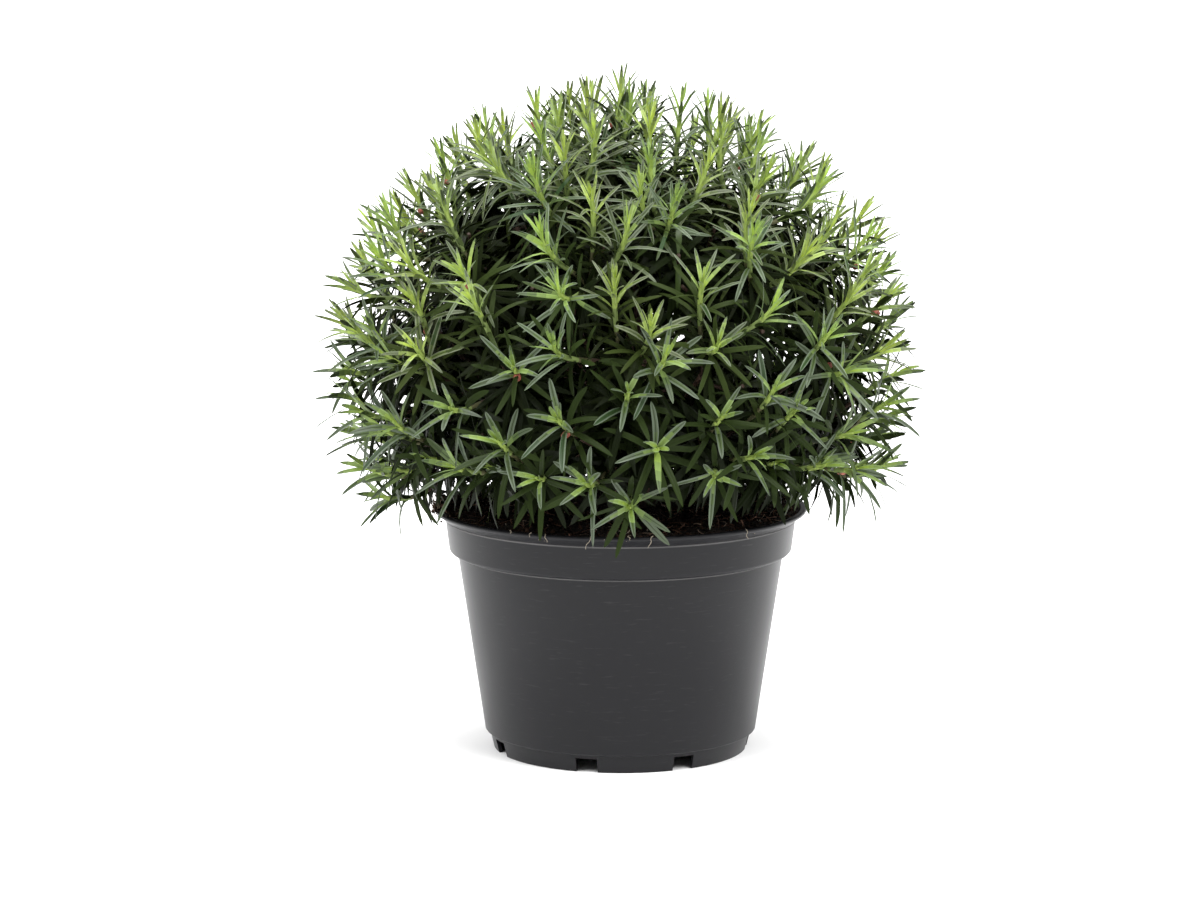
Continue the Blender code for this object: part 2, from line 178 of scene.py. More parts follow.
class PotSettings(bpy.types.PropertyGroup):
    """The nursery pot."""

    lip_radius: length("Lip radius", "Radius of the lip", POT_HIGH.x)
    height: length("Height", "Height of the lip above the ground", POT_HIGH.z)
    plastic: colour("Plastic", "Colour of the plastic", (0.0080, 0.0080, 0.0094))
    # The same pale colour also paints the highlight lines on fine rings below lip and collar
    dusty_and_highlight: colour("Dust", "Colour of the dry dust on it", (0.110, 0.108, 0.108))
    roughness: share("Roughness", "How dull the plastic is", 0.34)


class SoilSettings(bpy.types.PropertyGroup):
    """The potting soil."""

    edge_drop: length("Edge drop", "How far the soil lies below the lip at the wall", 0.0012)
    heap: length("Heap", "How far the soil rises from the wall to the middle", 0.0030)
    lump: length("Lumps", "Height of the lumps", 0.0032)
    crumbs: count("Crumbs", "How many loose crumbs lie on it", 4200)
    crumb_size: length("Crumb size", "Size of a middling crumb", 0.0019)
    fibres: count("Fibres", "How many fibres and fine roots lie on it", 460)
    grains: count("White grains", "How many white grains lie on it", 60)
    peat: colour("Peat", "Colour of the soil", (0.014, 0.010, 0.007))
    fibre: colour("Fibre", "Colour of the fibres", (0.105, 0.055, 0.034))
    straw: colour("Straw", "Colour of the dry roots and the white grains", (0.36, 0.31, 0.24))


class BarkSettings(bpy.types.PropertyGroup):
    """The bark of trunk, boughs and twigs."""

    ridge: share("Ridges", "Depth of the ridges as a share of the radius", 0.11)
    bark: colour("Bark", "Colour of the bark's ridges", (0.115, 0.060, 0.042))
    furrow: colour("Furrow", "Colour between the ridges", (0.032, 0.018, 0.014))
    twig: colour("Twig", "Colour of last year's twigs", (0.095, 0.054, 0.034))


class CrownSettings(bpy.types.PropertyGroup):
    """How the shoots branch."""

    shoots: count("Shoots", "How many shoots reach the outline", 218)
    seed: count("Seed", "Seed of the branching", 11)
    lift: share("Lift", "How far the low shoots turn up towards the light", 0.38)
    lift_above: share("Lift above", "How much further the high shoots turn up", 0.14)
    tuft: length("Tuft", "How far the youngest leaves stand out beyond the stem", 0.0132)
    fork_depth: length("Fork depth", "How far below their tips the shoots part", 0.058)
    group: count("Shoots in a group", "About how many shoots part at one branchlet", 4)
    inner: count("Inner shoots", "How many old shoots each branchlet keeps inside the crown", 7)


class LeafSettings(bpy.types.PropertyGroup):
    """Sizes and colours of the leaves."""

    leaf_length: length("Length", "Length of a full-grown leaf", 0.0300)
    leaf_width: length("Width", "Width of a full-grown leaf", 0.0030)
    spacing: length("Spacing", "Stem between two full-grown leaves", 0.00158)
    lime: colour("Lime", "Foot of the youngest leaves", (0.370, 0.490, 0.075))
    fresh: colour("Fresh", "Young leaves", (0.225, 0.305, 0.080))
    green: colour("Green", "Leaves of this spring", (0.088, 0.126, 0.040))
    deep: colour("Deep", "Full-grown leaves", (0.040, 0.060, 0.015))
    moss: colour("Moss", "Full-grown leaves, greener", (0.026, 0.058, 0.016))
    grey: colour("Grey", "Full-grown leaves with a grey bloom", (0.084, 0.105, 0.058))
    # Painted shade: leaves lying deep below the crown's outline get this near-black, whatever their age; the half
    # shade is mixed from it and the deep colour
    shade: colour("Shade", "Old leaves inside the crown", (0.008, 0.012, 0.003))
    # Painted sheen: the paler margins given to leaves out of the painted shade
    edge_sheen_fresh: colour("Young edge", "Edges of young leaves", (0.300, 0.400, 0.140))
    edge: colour("Edge", "Edges of full-grown leaves", (0.128, 0.156, 0.100))
    # Painted shade: a darker middle strip for the shade in the midrib's groove
    rib_shade: colour("Rib", "Middle of a full-grown leaf", (0.028, 0.044, 0.012))


class BudSettings(bpy.types.PropertyGroup):
    """The small red-brown buds."""

    buds: count("Buds", "How many buds sit on the shoots", 28)
    bud_length: length("Length", "Length of a bud", 0.0056)
    red: colour("Red", "Colour of the bud's scales", (0.36, 0.105, 0.070))


# Materials
class Field:
    """A value that varies over a surface. Python's operators add Math nodes."""

    def __init__(self, finish, socket):
        self.finish = finish
        self.socket = socket

    def maths(self, operation, *values):
        return self.finish.node("ShaderNodeMath", {"operation": operation}, dict(enumerate(values)))

    def __add__(self, other):
        return self.maths("ADD", self, other)

    def __radd__(self, other):
        return self.maths("ADD", other, self)

    def __sub__(self, other):
        return self.maths("SUBTRACT", self, other)

    def __rsub__(self, other):
        return self.maths("SUBTRACT", other, self)

    def __mul__(self, other):
        return self.maths("MULTIPLY", self, other)

    def __rmul__(self, other):
        return self.maths("MULTIPLY", other, self)

    def clipped(self, low, high):
        """0 below low, 1 above high, even between."""
        values = {"Value": self, "From Min": low, "From Max": high}
        return self.finish.node("ShaderNodeMapRange", {"clamp": True}, values)


class Finish:
    """One material and the nodes behind its Principled shader."""

    MIX_FACTOR, MIX_A, MIX_B, MIX_RESULT = 0, 6, 7, 2

    def __init__(self, name):
        self.material = bpy.data.materials.new(name)
        self.material.use_nodes = True
        self.tree = self.material.node_tree
        self.shader = self.tree.nodes["Principled BSDF"]

    def node(self, kind, settings=None, values=None, output=0):
        node = self.tree.nodes.new(kind)
        for key, value in (settings or {}).items():
            setattr(node, key, value)
        for key, value in (values or {}).items():
            self.feed(node.inputs[key], value)
        return Field(self, node.outputs[output])

    def feed(self, socket, value):
        if isinstance(value, Field):
            self.tree.links.new(value.socket, socket)
        else:
            socket.default_value = value

    def surface(self, **values):
        """Sets the Principled shader's sockets, named with _ for a space."""
        for key, value in values.items():
            self.feed(self.shader.inputs[key.replace("_", " ")], value)
        return self.material

    def place(self, scale=(1.0, 1.0, 1.0)):
        """Places on the object in metres, stretched."""
        spot = self.node("ShaderNodeTexCoord", output="Object")
        return self.node("ShaderNodeMapping", None, {"Vector": spot, "Scale": scale})

    def grain(self, place, scale, detail=4.0, roughness=0.55):
        values = {"Vector": place, "Scale": scale, "Detail": detail, "Roughness": roughness}
        return self.node("ShaderNodeTexNoise", None, values)

    def blend(self, factor, one, other):
        """A colour from one to other."""
        values = {self.MIX_FACTOR: factor, self.MIX_A: one, self.MIX_B: other}
        return self.node("ShaderNodeMix", {"data_type": "RGBA"}, values, self.MIX_RESULT)

    def bump(self, height, strength, distance):
        values = {"Height": height, "Strength": strength, "Distance": distance}
        return self.node("ShaderNodeBump", None, values)


def opaque(colour_value):
    return (*colour_value, 1.0)


def plain(name, colour_value, roughness, specular=0.5):
    """A finish of one colour, for the many small pieces that are dealt plain colours."""
    finish = Finish(name)
    return finish.surface(
        Base_Color=opaque(colour_value), Roughness=roughness, Specular_IOR_Level=specular
    )


def plastic_finish(pot):
    """Moulded plastic: a fine grain, faint pale scuffs, and painted highlight lines in the same pale colour on fine
    rings below lip and collar.
    """
    finish = Finish("dark_moulded_plastic")
    place = finish.place()
    cloud = finish.grain(place, 21.0)
    scuff = finish.grain(finish.place((1.0, 1.0, 9.0)), 95.0, 6.0)
    height = finish.node("ShaderNodeSeparateXYZ", None, {"Vector": place}, 2)
    collar_top, _, body_top = pot_heights(pot)
    # Painted highlight: the light lines at the collar's top and the body's top are painted as pale rings; the scuffs
    # are real wear.
    line = highlight_ring(height, collar_top) + highlight_ring(height, body_top)
    dust_and_highlight = (line * (0.35 + cloud) + scuff.clipped(0.60, 0.74) * 0.10).clipped(0.0, 1.0)
    shades = finish.blend(cloud, opaque(pot.plastic), opaque([c * 1.25 for c in pot.plastic]))
    skin = finish.grain(place, 1500.0, 2.0)
    return finish.surface(
        Base_Color=finish.blend(dust_and_highlight, shades, opaque(pot.dusty_and_highlight)),
        Roughness=pot.roughness - 0.04 + cloud * 0.10 + dust_and_highlight * 0.25,
        Specular_IOR_Level=0.2,
        Normal=finish.bump(skin * 0.6 + scuff * 0.4, 0.10, 0.0004),
    )


def highlight_ring(height, middle):
    """1 on a fine ring at the given height, 0 away from it: where a painted highlight line goes."""
    return height.clipped(middle - 0.0009, middle - 0.0003) * (1 - height.clipped(middle + 0.0002, middle + 0.0006))


def soil_finish(soil):
    """Dark peat with browner crumbs."""
    finish = Finish("potting_soil")
    place = finish.place()
    clod = finish.grain(place, 110.0, 8.0, 0.7)
    fine = finish.grain(place, 700.0, 6.0, 0.7)
    brown = (clod * 0.6 + fine * 0.4).clipped(0.48, 0.64)
    return finish.surface(
        Base_Color=finish.blend(brown, opaque(soil.peat), opaque([c * 0.45 for c in soil.fibre])),
        Roughness=0.96 - brown * 0.1,
        Normal=finish.bump(clod * 0.5 + fine * 0.5, 0.9, 0.0015),
    )


def bark_finish(bark):
    """Red-brown bark with dark furrows that run along the limb."""
    finish = Finish("red_brown_bark")
    long_grain = finish.grain(finish.place((1.0, 1.0, 0.22)), 420.0, 6.0, 0.65)
    patch = finish.grain(finish.place(), 90.0, 3.0)
    height = long_grain * 0.75 + patch * 0.25
    return finish.surface(
        Base_Color=finish.blend(height.clipped(0.36, 0.62), opaque(bark.furrow), opaque(bark.bark)),
        Roughness=0.92 - patch * 0.15,
        Normal=finish.bump(height, 0.8, 0.0008),
    )


# Lines and shapes from arrays
def unit(vectors):
    vectors = np.asarray(vectors, float)
    return vectors / np.maximum(1e-12, np.linalg.norm(vectors, axis=-1, keepdims=True))


def across(vector):
    """A way square to the given one."""
    return unit(np.cross(vector, UP if abs(vector[2]) < 0.9 else np.array((1.0, 0.0, 0.0))))


class Line:
    """A smooth run of points, looked up by distance from its start."""

    def __init__(self, points):
        self.points = np.asarray(points, float)
        steps = np.linalg.norm(np.diff(self.points, axis=0), axis=1)
        self.marks = np.concatenate(([0.0], np.cumsum(steps)))

    @property
    def length(self):
        return self.marks[-1]

    def at(self, distances):
        return np.stack([np.interp(distances, self.marks, axis) for axis in self.points.T], axis=-1)

    def along(self, distances, step=0.001):
        distances = np.asarray(distances, float)
        ahead = np.minimum(distances + step, self.length)
        return unit(self.at(ahead) - self.at(np.maximum(ahead - 2 * step, 0.0)))


def bend(start, leaves_along, end, arrives_along, points=24):
    """A line between two places that leaves one way and arrives another, bending mostly near its foot."""
    gap = np.linalg.norm(end - start)
    one = start + leaves_along * gap * 0.25
    other = end - arrives_along * gap * 0.50
    t = np.linspace(0.0, 1.0, points)[:, None]
    curve = (1 - t) ** 3 * start + 3 * (1 - t) ** 2 * t * one + 3 * (1 - t) * t**2 * other + t**3 * end
    return Line(curve)


class Pile:
    """Many small shapes, joined into one mesh with a material for each face."""

    def __init__(self):
        self.points = []
        self.faces = []
        self.finishes = []
        self.total = 0

    def add(self, points, faces, finish=0):
        points = np.reshape(points, (-1, 3))
        self.points.append(points)
        self.faces.append(np.asarray(faces) + self.total)
        self.finishes.append(np.broadcast_to(finish, len(faces)))
        self.total += len(points)

    def make(self, name, materials, smooth=True):
        mesh = bpy.data.meshes.new(name)
        corners = np.concatenate([faces.ravel() for faces in self.faces])
        sides = np.concatenate([np.full(len(faces), faces.shape[1]) for faces in self.faces])
        mesh.vertices.add(self.total)
        mesh.vertices.foreach_set("co", np.concatenate(self.points).astype(np.float32).ravel())
        mesh.loops.add(len(corners))
        mesh.loops.foreach_set("vertex_index", corners.astype(np.int32))
        mesh.polygons.add(len(sides))
        mesh.polygons.foreach_set("loop_start", (np.cumsum(sides) - sides).astype(np.int32))
        mesh.polygons.foreach_set("material_index", np.concatenate(self.finishes).astype(np.int32))
        mesh.update(calc_edges=True)
        mesh.validate()
        if smooth:
            mesh.shade_smooth()
        for material in materials:
            mesh.materials.append(material)
        return show(name, mesh)


def show(name, mesh):
    piece = bpy.data.objects.new(name, mesh)
    bpy.context.scene.collection.objects.link(piece)
    return piece


def tube(line_points, radii, sides):
    """Points and faces of a round limb. radii holds a radius for each ring, or for each point."""
    places = np.asarray(line_points, float)
    ways = unit(np.gradient(places, axis=0))
    turns = tau * np.arange(sides) / sides
    side = across(ways[0])
    rings = []
    for place, way, radius in zip(places, ways, radii):
        side = unit(side - way * side.dot(way))
        other = np.cross(way, side)
        spokes = np.cos(turns)[:, None] * side + np.sin(turns)[:, None] * other
        rings.append(place + spokes * np.reshape(radius, (-1, 1)))
    points = np.concatenate(rings + [places[:1], places[-1:]])
    first = np.arange(len(places) - 1)[:, None] * sides
    here = np.arange(sides)[None]
    after = (here + 1) % sides
    walls = np.stack([first + here, first + after, first + sides + after, first + sides + here], -1)
    foot, tip = len(points) - 2, len(points) - 1
    last = (len(places) - 1) * sides
    foot_fan = [(foot, (i + 1) % sides, i) for i in range(sides)]
    tip_fan = [(tip, last + i, last + (i + 1) % sides) for i in range(sides)]
    return points, walls.reshape(-1, 4), np.array(foot_fan + tip_fan)


def add_tube(pile, line_points, radii, sides, finish=0):
    """Adds a limb; finish is one material number, or one for each stretch between rings."""
    points, walls, caps = tube(line_points, radii, sides)
    rows = np.broadcast_to(finish, len(line_points) - 1)
    pile.add(points, walls, np.repeat(rows, sides))
    pile.faces.append(caps + pile.total - len(points))
    pile.finishes.append(np.repeat(rows[[0, -1]], sides))


def random_turns(rng, number):
    """Random rotations, one 3 by 3 matrix each."""
    w, x, y, z = unit(rng.normal(size=(number, 4))).T
    rows = (
        (1 - 2 * (y * y + z * z), 2 * (x * y - z * w), 2 * (x * z + y * w)),
        (2 * (x * y + z * w), 1 - 2 * (x * x + z * z), 2 * (y * z - x * w)),
        (2 * (x * z - y * w), 2 * (y * z + x * w), 1 - 2 * (x * x + y * y)),
    )
    return np.array(rows).transpose(2, 0, 1)


# Frame's limbs
def limb_rings(node, rings):
    """Middle and radius of each ring of points of one of the frame's limbs, from its foot up."""
    corners = np.array([vertex.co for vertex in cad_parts[node].data.vertices])
    gaps = np.linalg.norm(corners[:, None] - corners[None], axis=-1)
    ends = [corners[i] for i in np.unravel_index(gaps.argmax(), gaps.shape)]
    foot, tip = sorted(ends, key=lambda end: np.linalg.norm(end - TRUNK_FOOT))
    heights = (corners - foot) @ unit(tip - foot)
    order = np.argsort(heights)
    breaks = np.sort(np.argsort(np.diff(heights[order]))[-(rings - 1):]) + 1
    groups = [corners[group] for group in np.split(order, breaks)]
    middles = np.array([(group.min(0) + group.max(0)) / 2 for group in groups])
    radii = [np.linalg.norm(group - middle, axis=1).max() for group, middle in zip(groups, middles)]
    return middles, np.array(radii)


def smooth_limb(middles, radii, step):
    """A finer run of places and radii along a limb."""
    t = np.linspace(0.0, 1.0, len(middles))
    rough_length = np.linalg.norm(np.diff(middles, axis=0), axis=1).sum()
    fine = np.linspace(0.0, 1.0, max(3, round(rough_length / step)))
    places = np.stack([np.polyval(np.polyfit(t, axis, 3), fine) for axis in middles.T], axis=-1)
    return places, np.interp(fine, t, radii)


# Crown
def smooth_reach(towards):
    """Distance from the crown's centre to its outline."""
    side = hypot(towards[0], towards[1])
    if towards[2] >= 0:
        reach = TOP_REACH + (SIDE_REACH - TOP_REACH) * side**3
    else:
        below = min(1.0, -towards[2] / sin(SKIRT_ANGLE))
        reach = SIDE_REACH + SKIRT_BULGE * sin(pi * below)
    off_axis = np.arccos(min(1.0, towards[2]))
    return reach + LEADER_RISE * max(0.0, 1 - off_axis / LEADER_SPREAD)


def shoot_directions(crown):
    """Shoot tips spread evenly over the dome on a golden-angle spiral, then jittered."""
    rng = random.Random(crown.seed)
    golden = pi * (3 - sqrt(5))
    spacing = sqrt(2 * tau / crown.shoots)
    ways = []
    for i in range(crown.shoots):
        height = 1 - (1 - LOWEST_SHOOT_SINE) * (i + 0.5) / crown.shoots
        ring = sqrt(1 - height * height)
        place = np.array((ring * cos(golden * i), ring * sin(golden * i), height))
        shift = np.array((rng.gauss(0, 1), rng.gauss(0, 1), rng.gauss(0, 1)))
        ways.append(unit(place + shift * spacing * SHOOT_JITTER / 2))
    ways[0] = UP
    return np.array([way for way in ways if way[2] > LOWEST_LEAFY_SINE])


def lowest_tip(point):
    """Shoots hang lowest at the two sides, beyond the pot's lip, and low in the middle of the front."""
    side = abs(point[0]) / max(1e-6, hypot(point[0], point[1]))
    front = LOWEST_TIP_CORNERS + (LOWEST_TIP_FRONT - LOWEST_TIP_CORNERS) * max(0.0, 1 - side / 0.45)
    return front + (LOWEST_TIP_SIDES - front) * side**10


def parted(places, groups):
    """The group of each place, each group's places being near each other."""
    centres = places[:1]
    while len(centres) < groups:
        away = np.linalg.norm(places[:, None] - centres[None], axis=-1).min(1)
        centres = np.concatenate((centres, places[away.argmax()][None]))
    for _ in range(12):
        nearest = np.linalg.norm(places[:, None] - centres[None], axis=-1).argmin(1)
        centres = np.array([places[nearest == i].mean(0) for i in range(len(centres))])
    return nearest


class Shoot:
    """A leafy shoot: its line from where it parts to its apex, how fast it ages, and if it is an old one."""

    def __init__(self, mass, line, number, ageing=1.0, old=False):
        self.mass = mass
        self.line = line
        self.number = number
        self.ageing = ageing
        self.old = old


def grow(crown):
    """The branchlets that grow on from the boughs, and the shoots that part from them."""
    rng = np.random.default_rng(crown.seed)
    ways = shoot_directions(crown)
    tips = CROWN_CENTRE + ways * np.array([[smooth_reach(way)] for way in ways])
    tips[:, 2] = np.maximum(tips[:, 2], [lowest_tip(tip) for tip in tips])
    lift = crown.lift + crown.lift_above * np.clip((ways[:, 2:] + 0.2) / 0.7, 0.0, 1.0)
    level = ways * (1.0, 1.0, 0.0) + UP * np.maximum(ways[:, 2:], -0.25)
    axes = unit(unit(level) * (1 - lift) + UP * lift + rng.normal(0.0, 0.065, ways.shape))
    low = np.clip((0.42 - ways[:, 2]) / 0.55, 0.0, 1.0)
    high = np.clip((ways[:, 2] - 0.35) / 0.4, 0.0, 1.0)
    apexes = tips - axes * (crown.tuft + 0.0040 * low - 0.0022 * high)[:, None]
    ageing = (0.92 + 0.75 * low) * rng.uniform(0.86, 1.14, len(ways))
    skins = {name: np.array([v.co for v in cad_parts[name].data.vertices]) for name in MASSES}
    depth = np.array([[np.linalg.norm(skins[name] - tip, axis=1).min() for name in MASSES] for tip in tips])
    owner = depth.argmin(1)
    branchlets, shoots = [], []
    for index, mass in enumerate(MASSES):
        mine = np.flatnonzero(owner == index)
        middles, radii = limb_rings(mass.replace("foliage", "bough"), BOUGH_RINGS)
        end, end_way = middles[-1], unit(middles[-1] - middles[-2])
        groups = parted(apexes[mine], max(2, round(len(mine) / crown.group)))
        for group in range(groups.max() + 1):
            members = mine[groups == group]
            middle = apexes[members].mean(0)
            gap = np.linalg.norm(end - middle)
            inward = unit(unit(end - middle) - unit(axes[members].mean(0)) * 0.9)
            fork = middle + inward * min(crown.fork_depth, gap * 0.8)
            fork[2] = max(fork[2], POT_HIGH.z + 0.020)
            fork_way = unit(unit(fork - end) + unit(middle - fork))
            carrier = bend(end - end_way * 0.002, end_way, fork, fork_way, 16)
            branchlets.append((mass, carrier))
            for _ in range(crown.inner):
                start = carrier.length * rng.uniform(0.15, 0.95)
                way = unit(rng.normal(size=3) + carrier.along(start) * 0.6)
                foot = carrier.at(start)
                far = foot + way * rng.uniform(0.026, 0.046)
                far[2] = max(far[2], POT_HIGH.z + 0.038)
                number = len(ways) + len(shoots)
                shoots.append(Shoot(mass, bend(foot, way, far, unit(way + UP * 0.5), 10), number, 1.0, True))
            order = members[np.argsort(-(apexes[members] - fork) @ fork_way)]
            leader = None
            for member in order:
                start, way = fork, fork_way
                if leader:
                    part_at = leader.length * rng.uniform(0.0, 0.26)
                    start, way = leader.at(part_at), leader.along(part_at)
                leaves = unit(way * 0.45 + unit(apexes[member] - start) * 0.55)
                line = bend(start, leaves, apexes[member], axes[member])
                leader = leader or line
                shoots.append(Shoot(mass, line, int(member), ageing[member]))
    return branchlets, shoots


# Leaves
LEAF_STAGES = (0.0, 0.005, 0.010, 0.016, 0.024, 0.034, 0.048)
LEAF_LENGTHS = (0.40, 0.62, 0.80, 0.92, 1.0, 1.0, 1.0)
LEAF_WIDTHS = (0.84, 0.92, 0.98, 1.02, 1.04, 1.02, 1.0)
LEAF_LEANS = (4, 12, 18, 24, 31, 39, 49)
LEAF_CURVES = (5, 15, 27, 41, 53, 58, 60)
LEAF_TAPERS = (0.50, 0.46, 0.40, 0.32, 0.22, 0.10, 0.05)
LEAF_TONES = (0.0, 0.1, 0.6, 1.6, 3.2, 4.6, 5.2)
LEAF_TIP_TONES = (3.4, 4.6, 5.4, 5.2, 3.6, 1.0, 0.2)
TIGHT_SPACING = 1.08
# Depths below the outline where painted shade begins: low in the crown, and high up
HALF_SHADE_DEPTH = (0.028, 0.048)
# Shoots whose apex lies lower get the painted shade tint
LOW_DOWN = 0.205
SHADE_DEPTH = 0.011
INNER_LEAVES_AT = 0.052
INNER_SPACING = 1.3
LEAF_ROWS = np.array((0.0, 0.08, 0.20, 0.38, 0.58, 0.78, 0.92, 1.0))
LEAF_ACROSS = np.array((-1.0, -0.56, -0.15, 0.15, 0.56, 1.0))
LEAF_RELIEF = np.array((-0.20, 0.0, -0.14, -0.14, 0.0, -0.20))
INNER_ROWS = np.array((0.0, 0.30, 0.70, 1.0))
INNER_ACROSS = np.array((-1.0, 0.0, 1.0))
INNER_RELIEF = np.array((-0.05, -0.22, -0.05))
# A tint for each spray; the last, a darker copy of every leaf colour, is painted shade for shoots low under the
# crown.
SPRAY_TINTS_AND_LOW_SHADE = ((1.0, 1.0, 1.0), (1.06, 1.02, 0.94), (0.90, 0.96, 0.96), (0.66, 0.70, 0.72))


def leaf_outline(rows):
    """Half width of a leaf along its length: narrow foot, even blade, blunt tip."""
    foot = 0.36 + 0.64 * np.sin(np.minimum(1.0, rows / 0.40) * pi / 2)
    tip = np.sqrt(np.maximum(0.0, 1 - (np.maximum(0.0, rows - 0.66) / 0.34) ** 2.2))
    return foot * np.maximum(0.13, tip)


def leaf_sheets(leaves, rows, spread, relief):
    """Points of many leaves at once, each a sheet of rows along it and strips across it."""
    t = rows[None]
    free = np.sin(np.minimum(1.0, t / 0.16) * pi / 2)
    away = 0.45 * np.sin(np.minimum(1.0, t / 0.36) * pi / 2) + 0.55 * t**1.3
    lean = leaves["lean"][:, None] * free + leaves["curve"][:, None] * away
    mid_lean = (lean[:, 1:] + lean[:, :-1]) / 2
    steps = np.diff(rows)[None] * leaves["length"][:, None]
    out = np.concatenate((np.zeros((len(lean), 1)), np.cumsum(np.sin(mid_lean) * steps, axis=1)), axis=1)
    ahead = np.concatenate((np.zeros((len(lean), 1)), np.cumsum(np.cos(mid_lean) * steps, axis=1)), axis=1)
    stem, radial = leaves["stem"][:, None], leaves["radial"][:, None]
    flank = np.cross(stem, radial)
    sweep = (leaves["sweep"] * leaves["length"])[:, None] * t**2
    droop = (leaves["droop"] * leaves["length"])[:, None] * t**2
    middle = leaves["foot"][:, None] + stem * ahead[..., None] + radial * out[..., None]
    middle = middle + flank * sweep[..., None] - UP * droop[..., None]
    face = stem * np.sin(lean)[..., None] - radial * np.cos(lean)[..., None]
    roll = (leaves["roll"][:, None] + leaves["twist"][:, None] * t)[..., None]
    wide = flank * np.cos(roll) + face * np.sin(roll)
    face = face * np.cos(roll) - flank * np.sin(roll)
    taper = 1 - leaves["taper"][:, None] * np.maximum(0.0, t - 0.2)
    half = (leaves["width"][:, None] / 2 * leaf_outline(t) * taper)[..., None, None]
    across_points = wide[:, :, None] * spread[:, None] + face[:, :, None] * relief[:, None]
    return middle[:, :, None] + across_points * half


def sheet_faces(number, rows, strips):
    """Corners of the faces of many sheets, their upper side outwards."""
    sheet = np.arange(number)[:, None, None] * (rows + 1) * (strips + 1)
    row = np.arange(rows)[None, :, None] * (strips + 1)
    first = sheet + row + np.arange(strips)[None, None]
    corners = (first, first + strips + 1, first + strips + 2, first + 1)
    return np.stack(corners, axis=-1).reshape(-1, 4)


def leaf_places(shoot, leaf, rng):
    """Distances of a shoot's leaves from its apex."""
    places = [0.0003]
    while places[-1] < shoot.line.length - 0.004:
        ripe = min(1.0, places[-1] * shoot.ageing / 0.016)
        gap = leaf.spacing * (TIGHT_SPACING + (1 - TIGHT_SPACING) * ripe) * (0.7 + 0.3 * shoot.ageing)
        if places[-1] > INNER_LEAVES_AT:
            gap *= INNER_SPACING
        places.append(places[-1] + gap * rng.uniform(0.75, 1.25))
    return np.array(places)


def shoot_radius(back):
    """Radius of a green shoot by distance from its apex, thick where the leaves' feet clasp it."""
    return np.interp(
        back, (0.0, 0.002, 0.006, 0.014, 0.032, 0.060), (0.0004, 0.0008, 0.0011, 0.0014, 0.0014, 0.0010)
    )


def add_stem(pile, shoot):
    """The shoot's stem, green where it is young, its foot sunk into what carries it."""
    brown, dark, olive, green, lime = range(5)
    long = shoot.line.length
    marks = np.array((0.0, 0.001, 0.0025, 0.005, 0.009, 0.014, 0.020, 0.027, 0.035, 0.045, 0.058, 0.075))
    back = np.append(marks[marks < long - 0.003], long)[::-1]
    points = shoot.line.at(long - back)
    points[0] -= unit(points[1] - points[0]) * 0.0008
    age = back * shoot.ageing + (INNER_LEAVES_AT if shoot.old else 0.0)
    middle_age = (age[1:] + age[:-1]) / 2
    colours = np.select(
        [middle_age < 0.018, middle_age < 0.034, middle_age < 0.048], [lime, green, olive], dark
    )
    add_tube(pile, points, shoot_radius(age), 8, colours)


def leaves_of(shoot, leaf, seed):
    """Numbers of all leaves of one shoot, as arrays."""
    rng = np.random.default_rng(seed * 1000 + shoot.number)
    back = leaf_places(shoot, leaf, rng)
    number = len(back)
    along_line = shoot.line.length - back
    inward = shoot.line.at(along_line) - CROWN_CENTRE
    depth = np.array([smooth_reach(unit(place)) for place in inward]) - np.linalg.norm(inward, axis=1)
    back = back * shoot.ageing + (INNER_LEAVES_AT if shoot.old else 0.0)
    stem = shoot.line.along(along_line)
    side = across(stem[0])
    flank = unit(side - stem * (stem @ side)[:, None])
    turn = rng.uniform(0, tau) + np.arange(number) * pi * (3 - sqrt(5)) + rng.normal(0, 0.12, number)
    other = np.cross(stem, flank)
    radial = flank * np.cos(turn)[:, None] + other * np.sin(turn)[:, None]
    vigour = rng.uniform(0.90, 1.10)
    broad = np.where(back > INNER_LEAVES_AT, 1.3, 0.42 + 0.48 * shoot.ageing)
    spread = rng.normal(0, 3.0)

    def staged(values):
        return np.interp(back, LEAF_STAGES, values)

    leaves = {
        "back": back,
        "depth": depth,
        "foot": shoot.line.at(along_line) + radial * shoot_radius(back)[:, None] * 0.8,
        "stem": stem,
        "radial": radial,
        "length": leaf.leaf_length * staged(LEAF_LENGTHS) * vigour * rng.uniform(0.84, 1.08, number),
        "width": leaf.leaf_width * staged(LEAF_WIDTHS) * rng.uniform(0.88, 1.08, number) * broad,
        "taper": staged(LEAF_TAPERS),
        "lean": np.radians(np.maximum(1.0, staged(LEAF_LEANS) + spread + rng.normal(0, 4.5, number))),
        "curve": np.radians(staged(LEAF_CURVES) * rng.uniform(0.6, 1.35, number)),
        "sweep": rng.normal(0, 0.05, number),
        "droop": 0.05 + 0.05 * rng.random(number) + 0.10 * max(0.0, shoot.ageing - 1.2),
        "roll": rng.normal(0, 0.20, number),
        "twist": rng.normal(0, 0.30, number),
        "tone": staged(LEAF_TONES) + rng.normal(0, 0.25, number) + rng.normal(0, 0.25),
        "tip_tone": staged(LEAF_TIP_TONES) * rng.uniform(0.7, 1.2, number),
        "hue": rng.random(number),
    }
    return leaves


TONE_NAMES = (
    "lime", "limy", "fresh", "leafy", "green", "deep", "moss", "grey", "half_shade", "shade", "edge_sheen_fresh", "edge", "rib_shade",
)
LIME, LIMY, FRESH, LEAFY, GREEN, DEEP, MOSS, GREY, HALF_SHADE, SHADE, EDGE_SHEEN_FRESH, EDGE_SHEEN, RIB_SHADE = range(13)


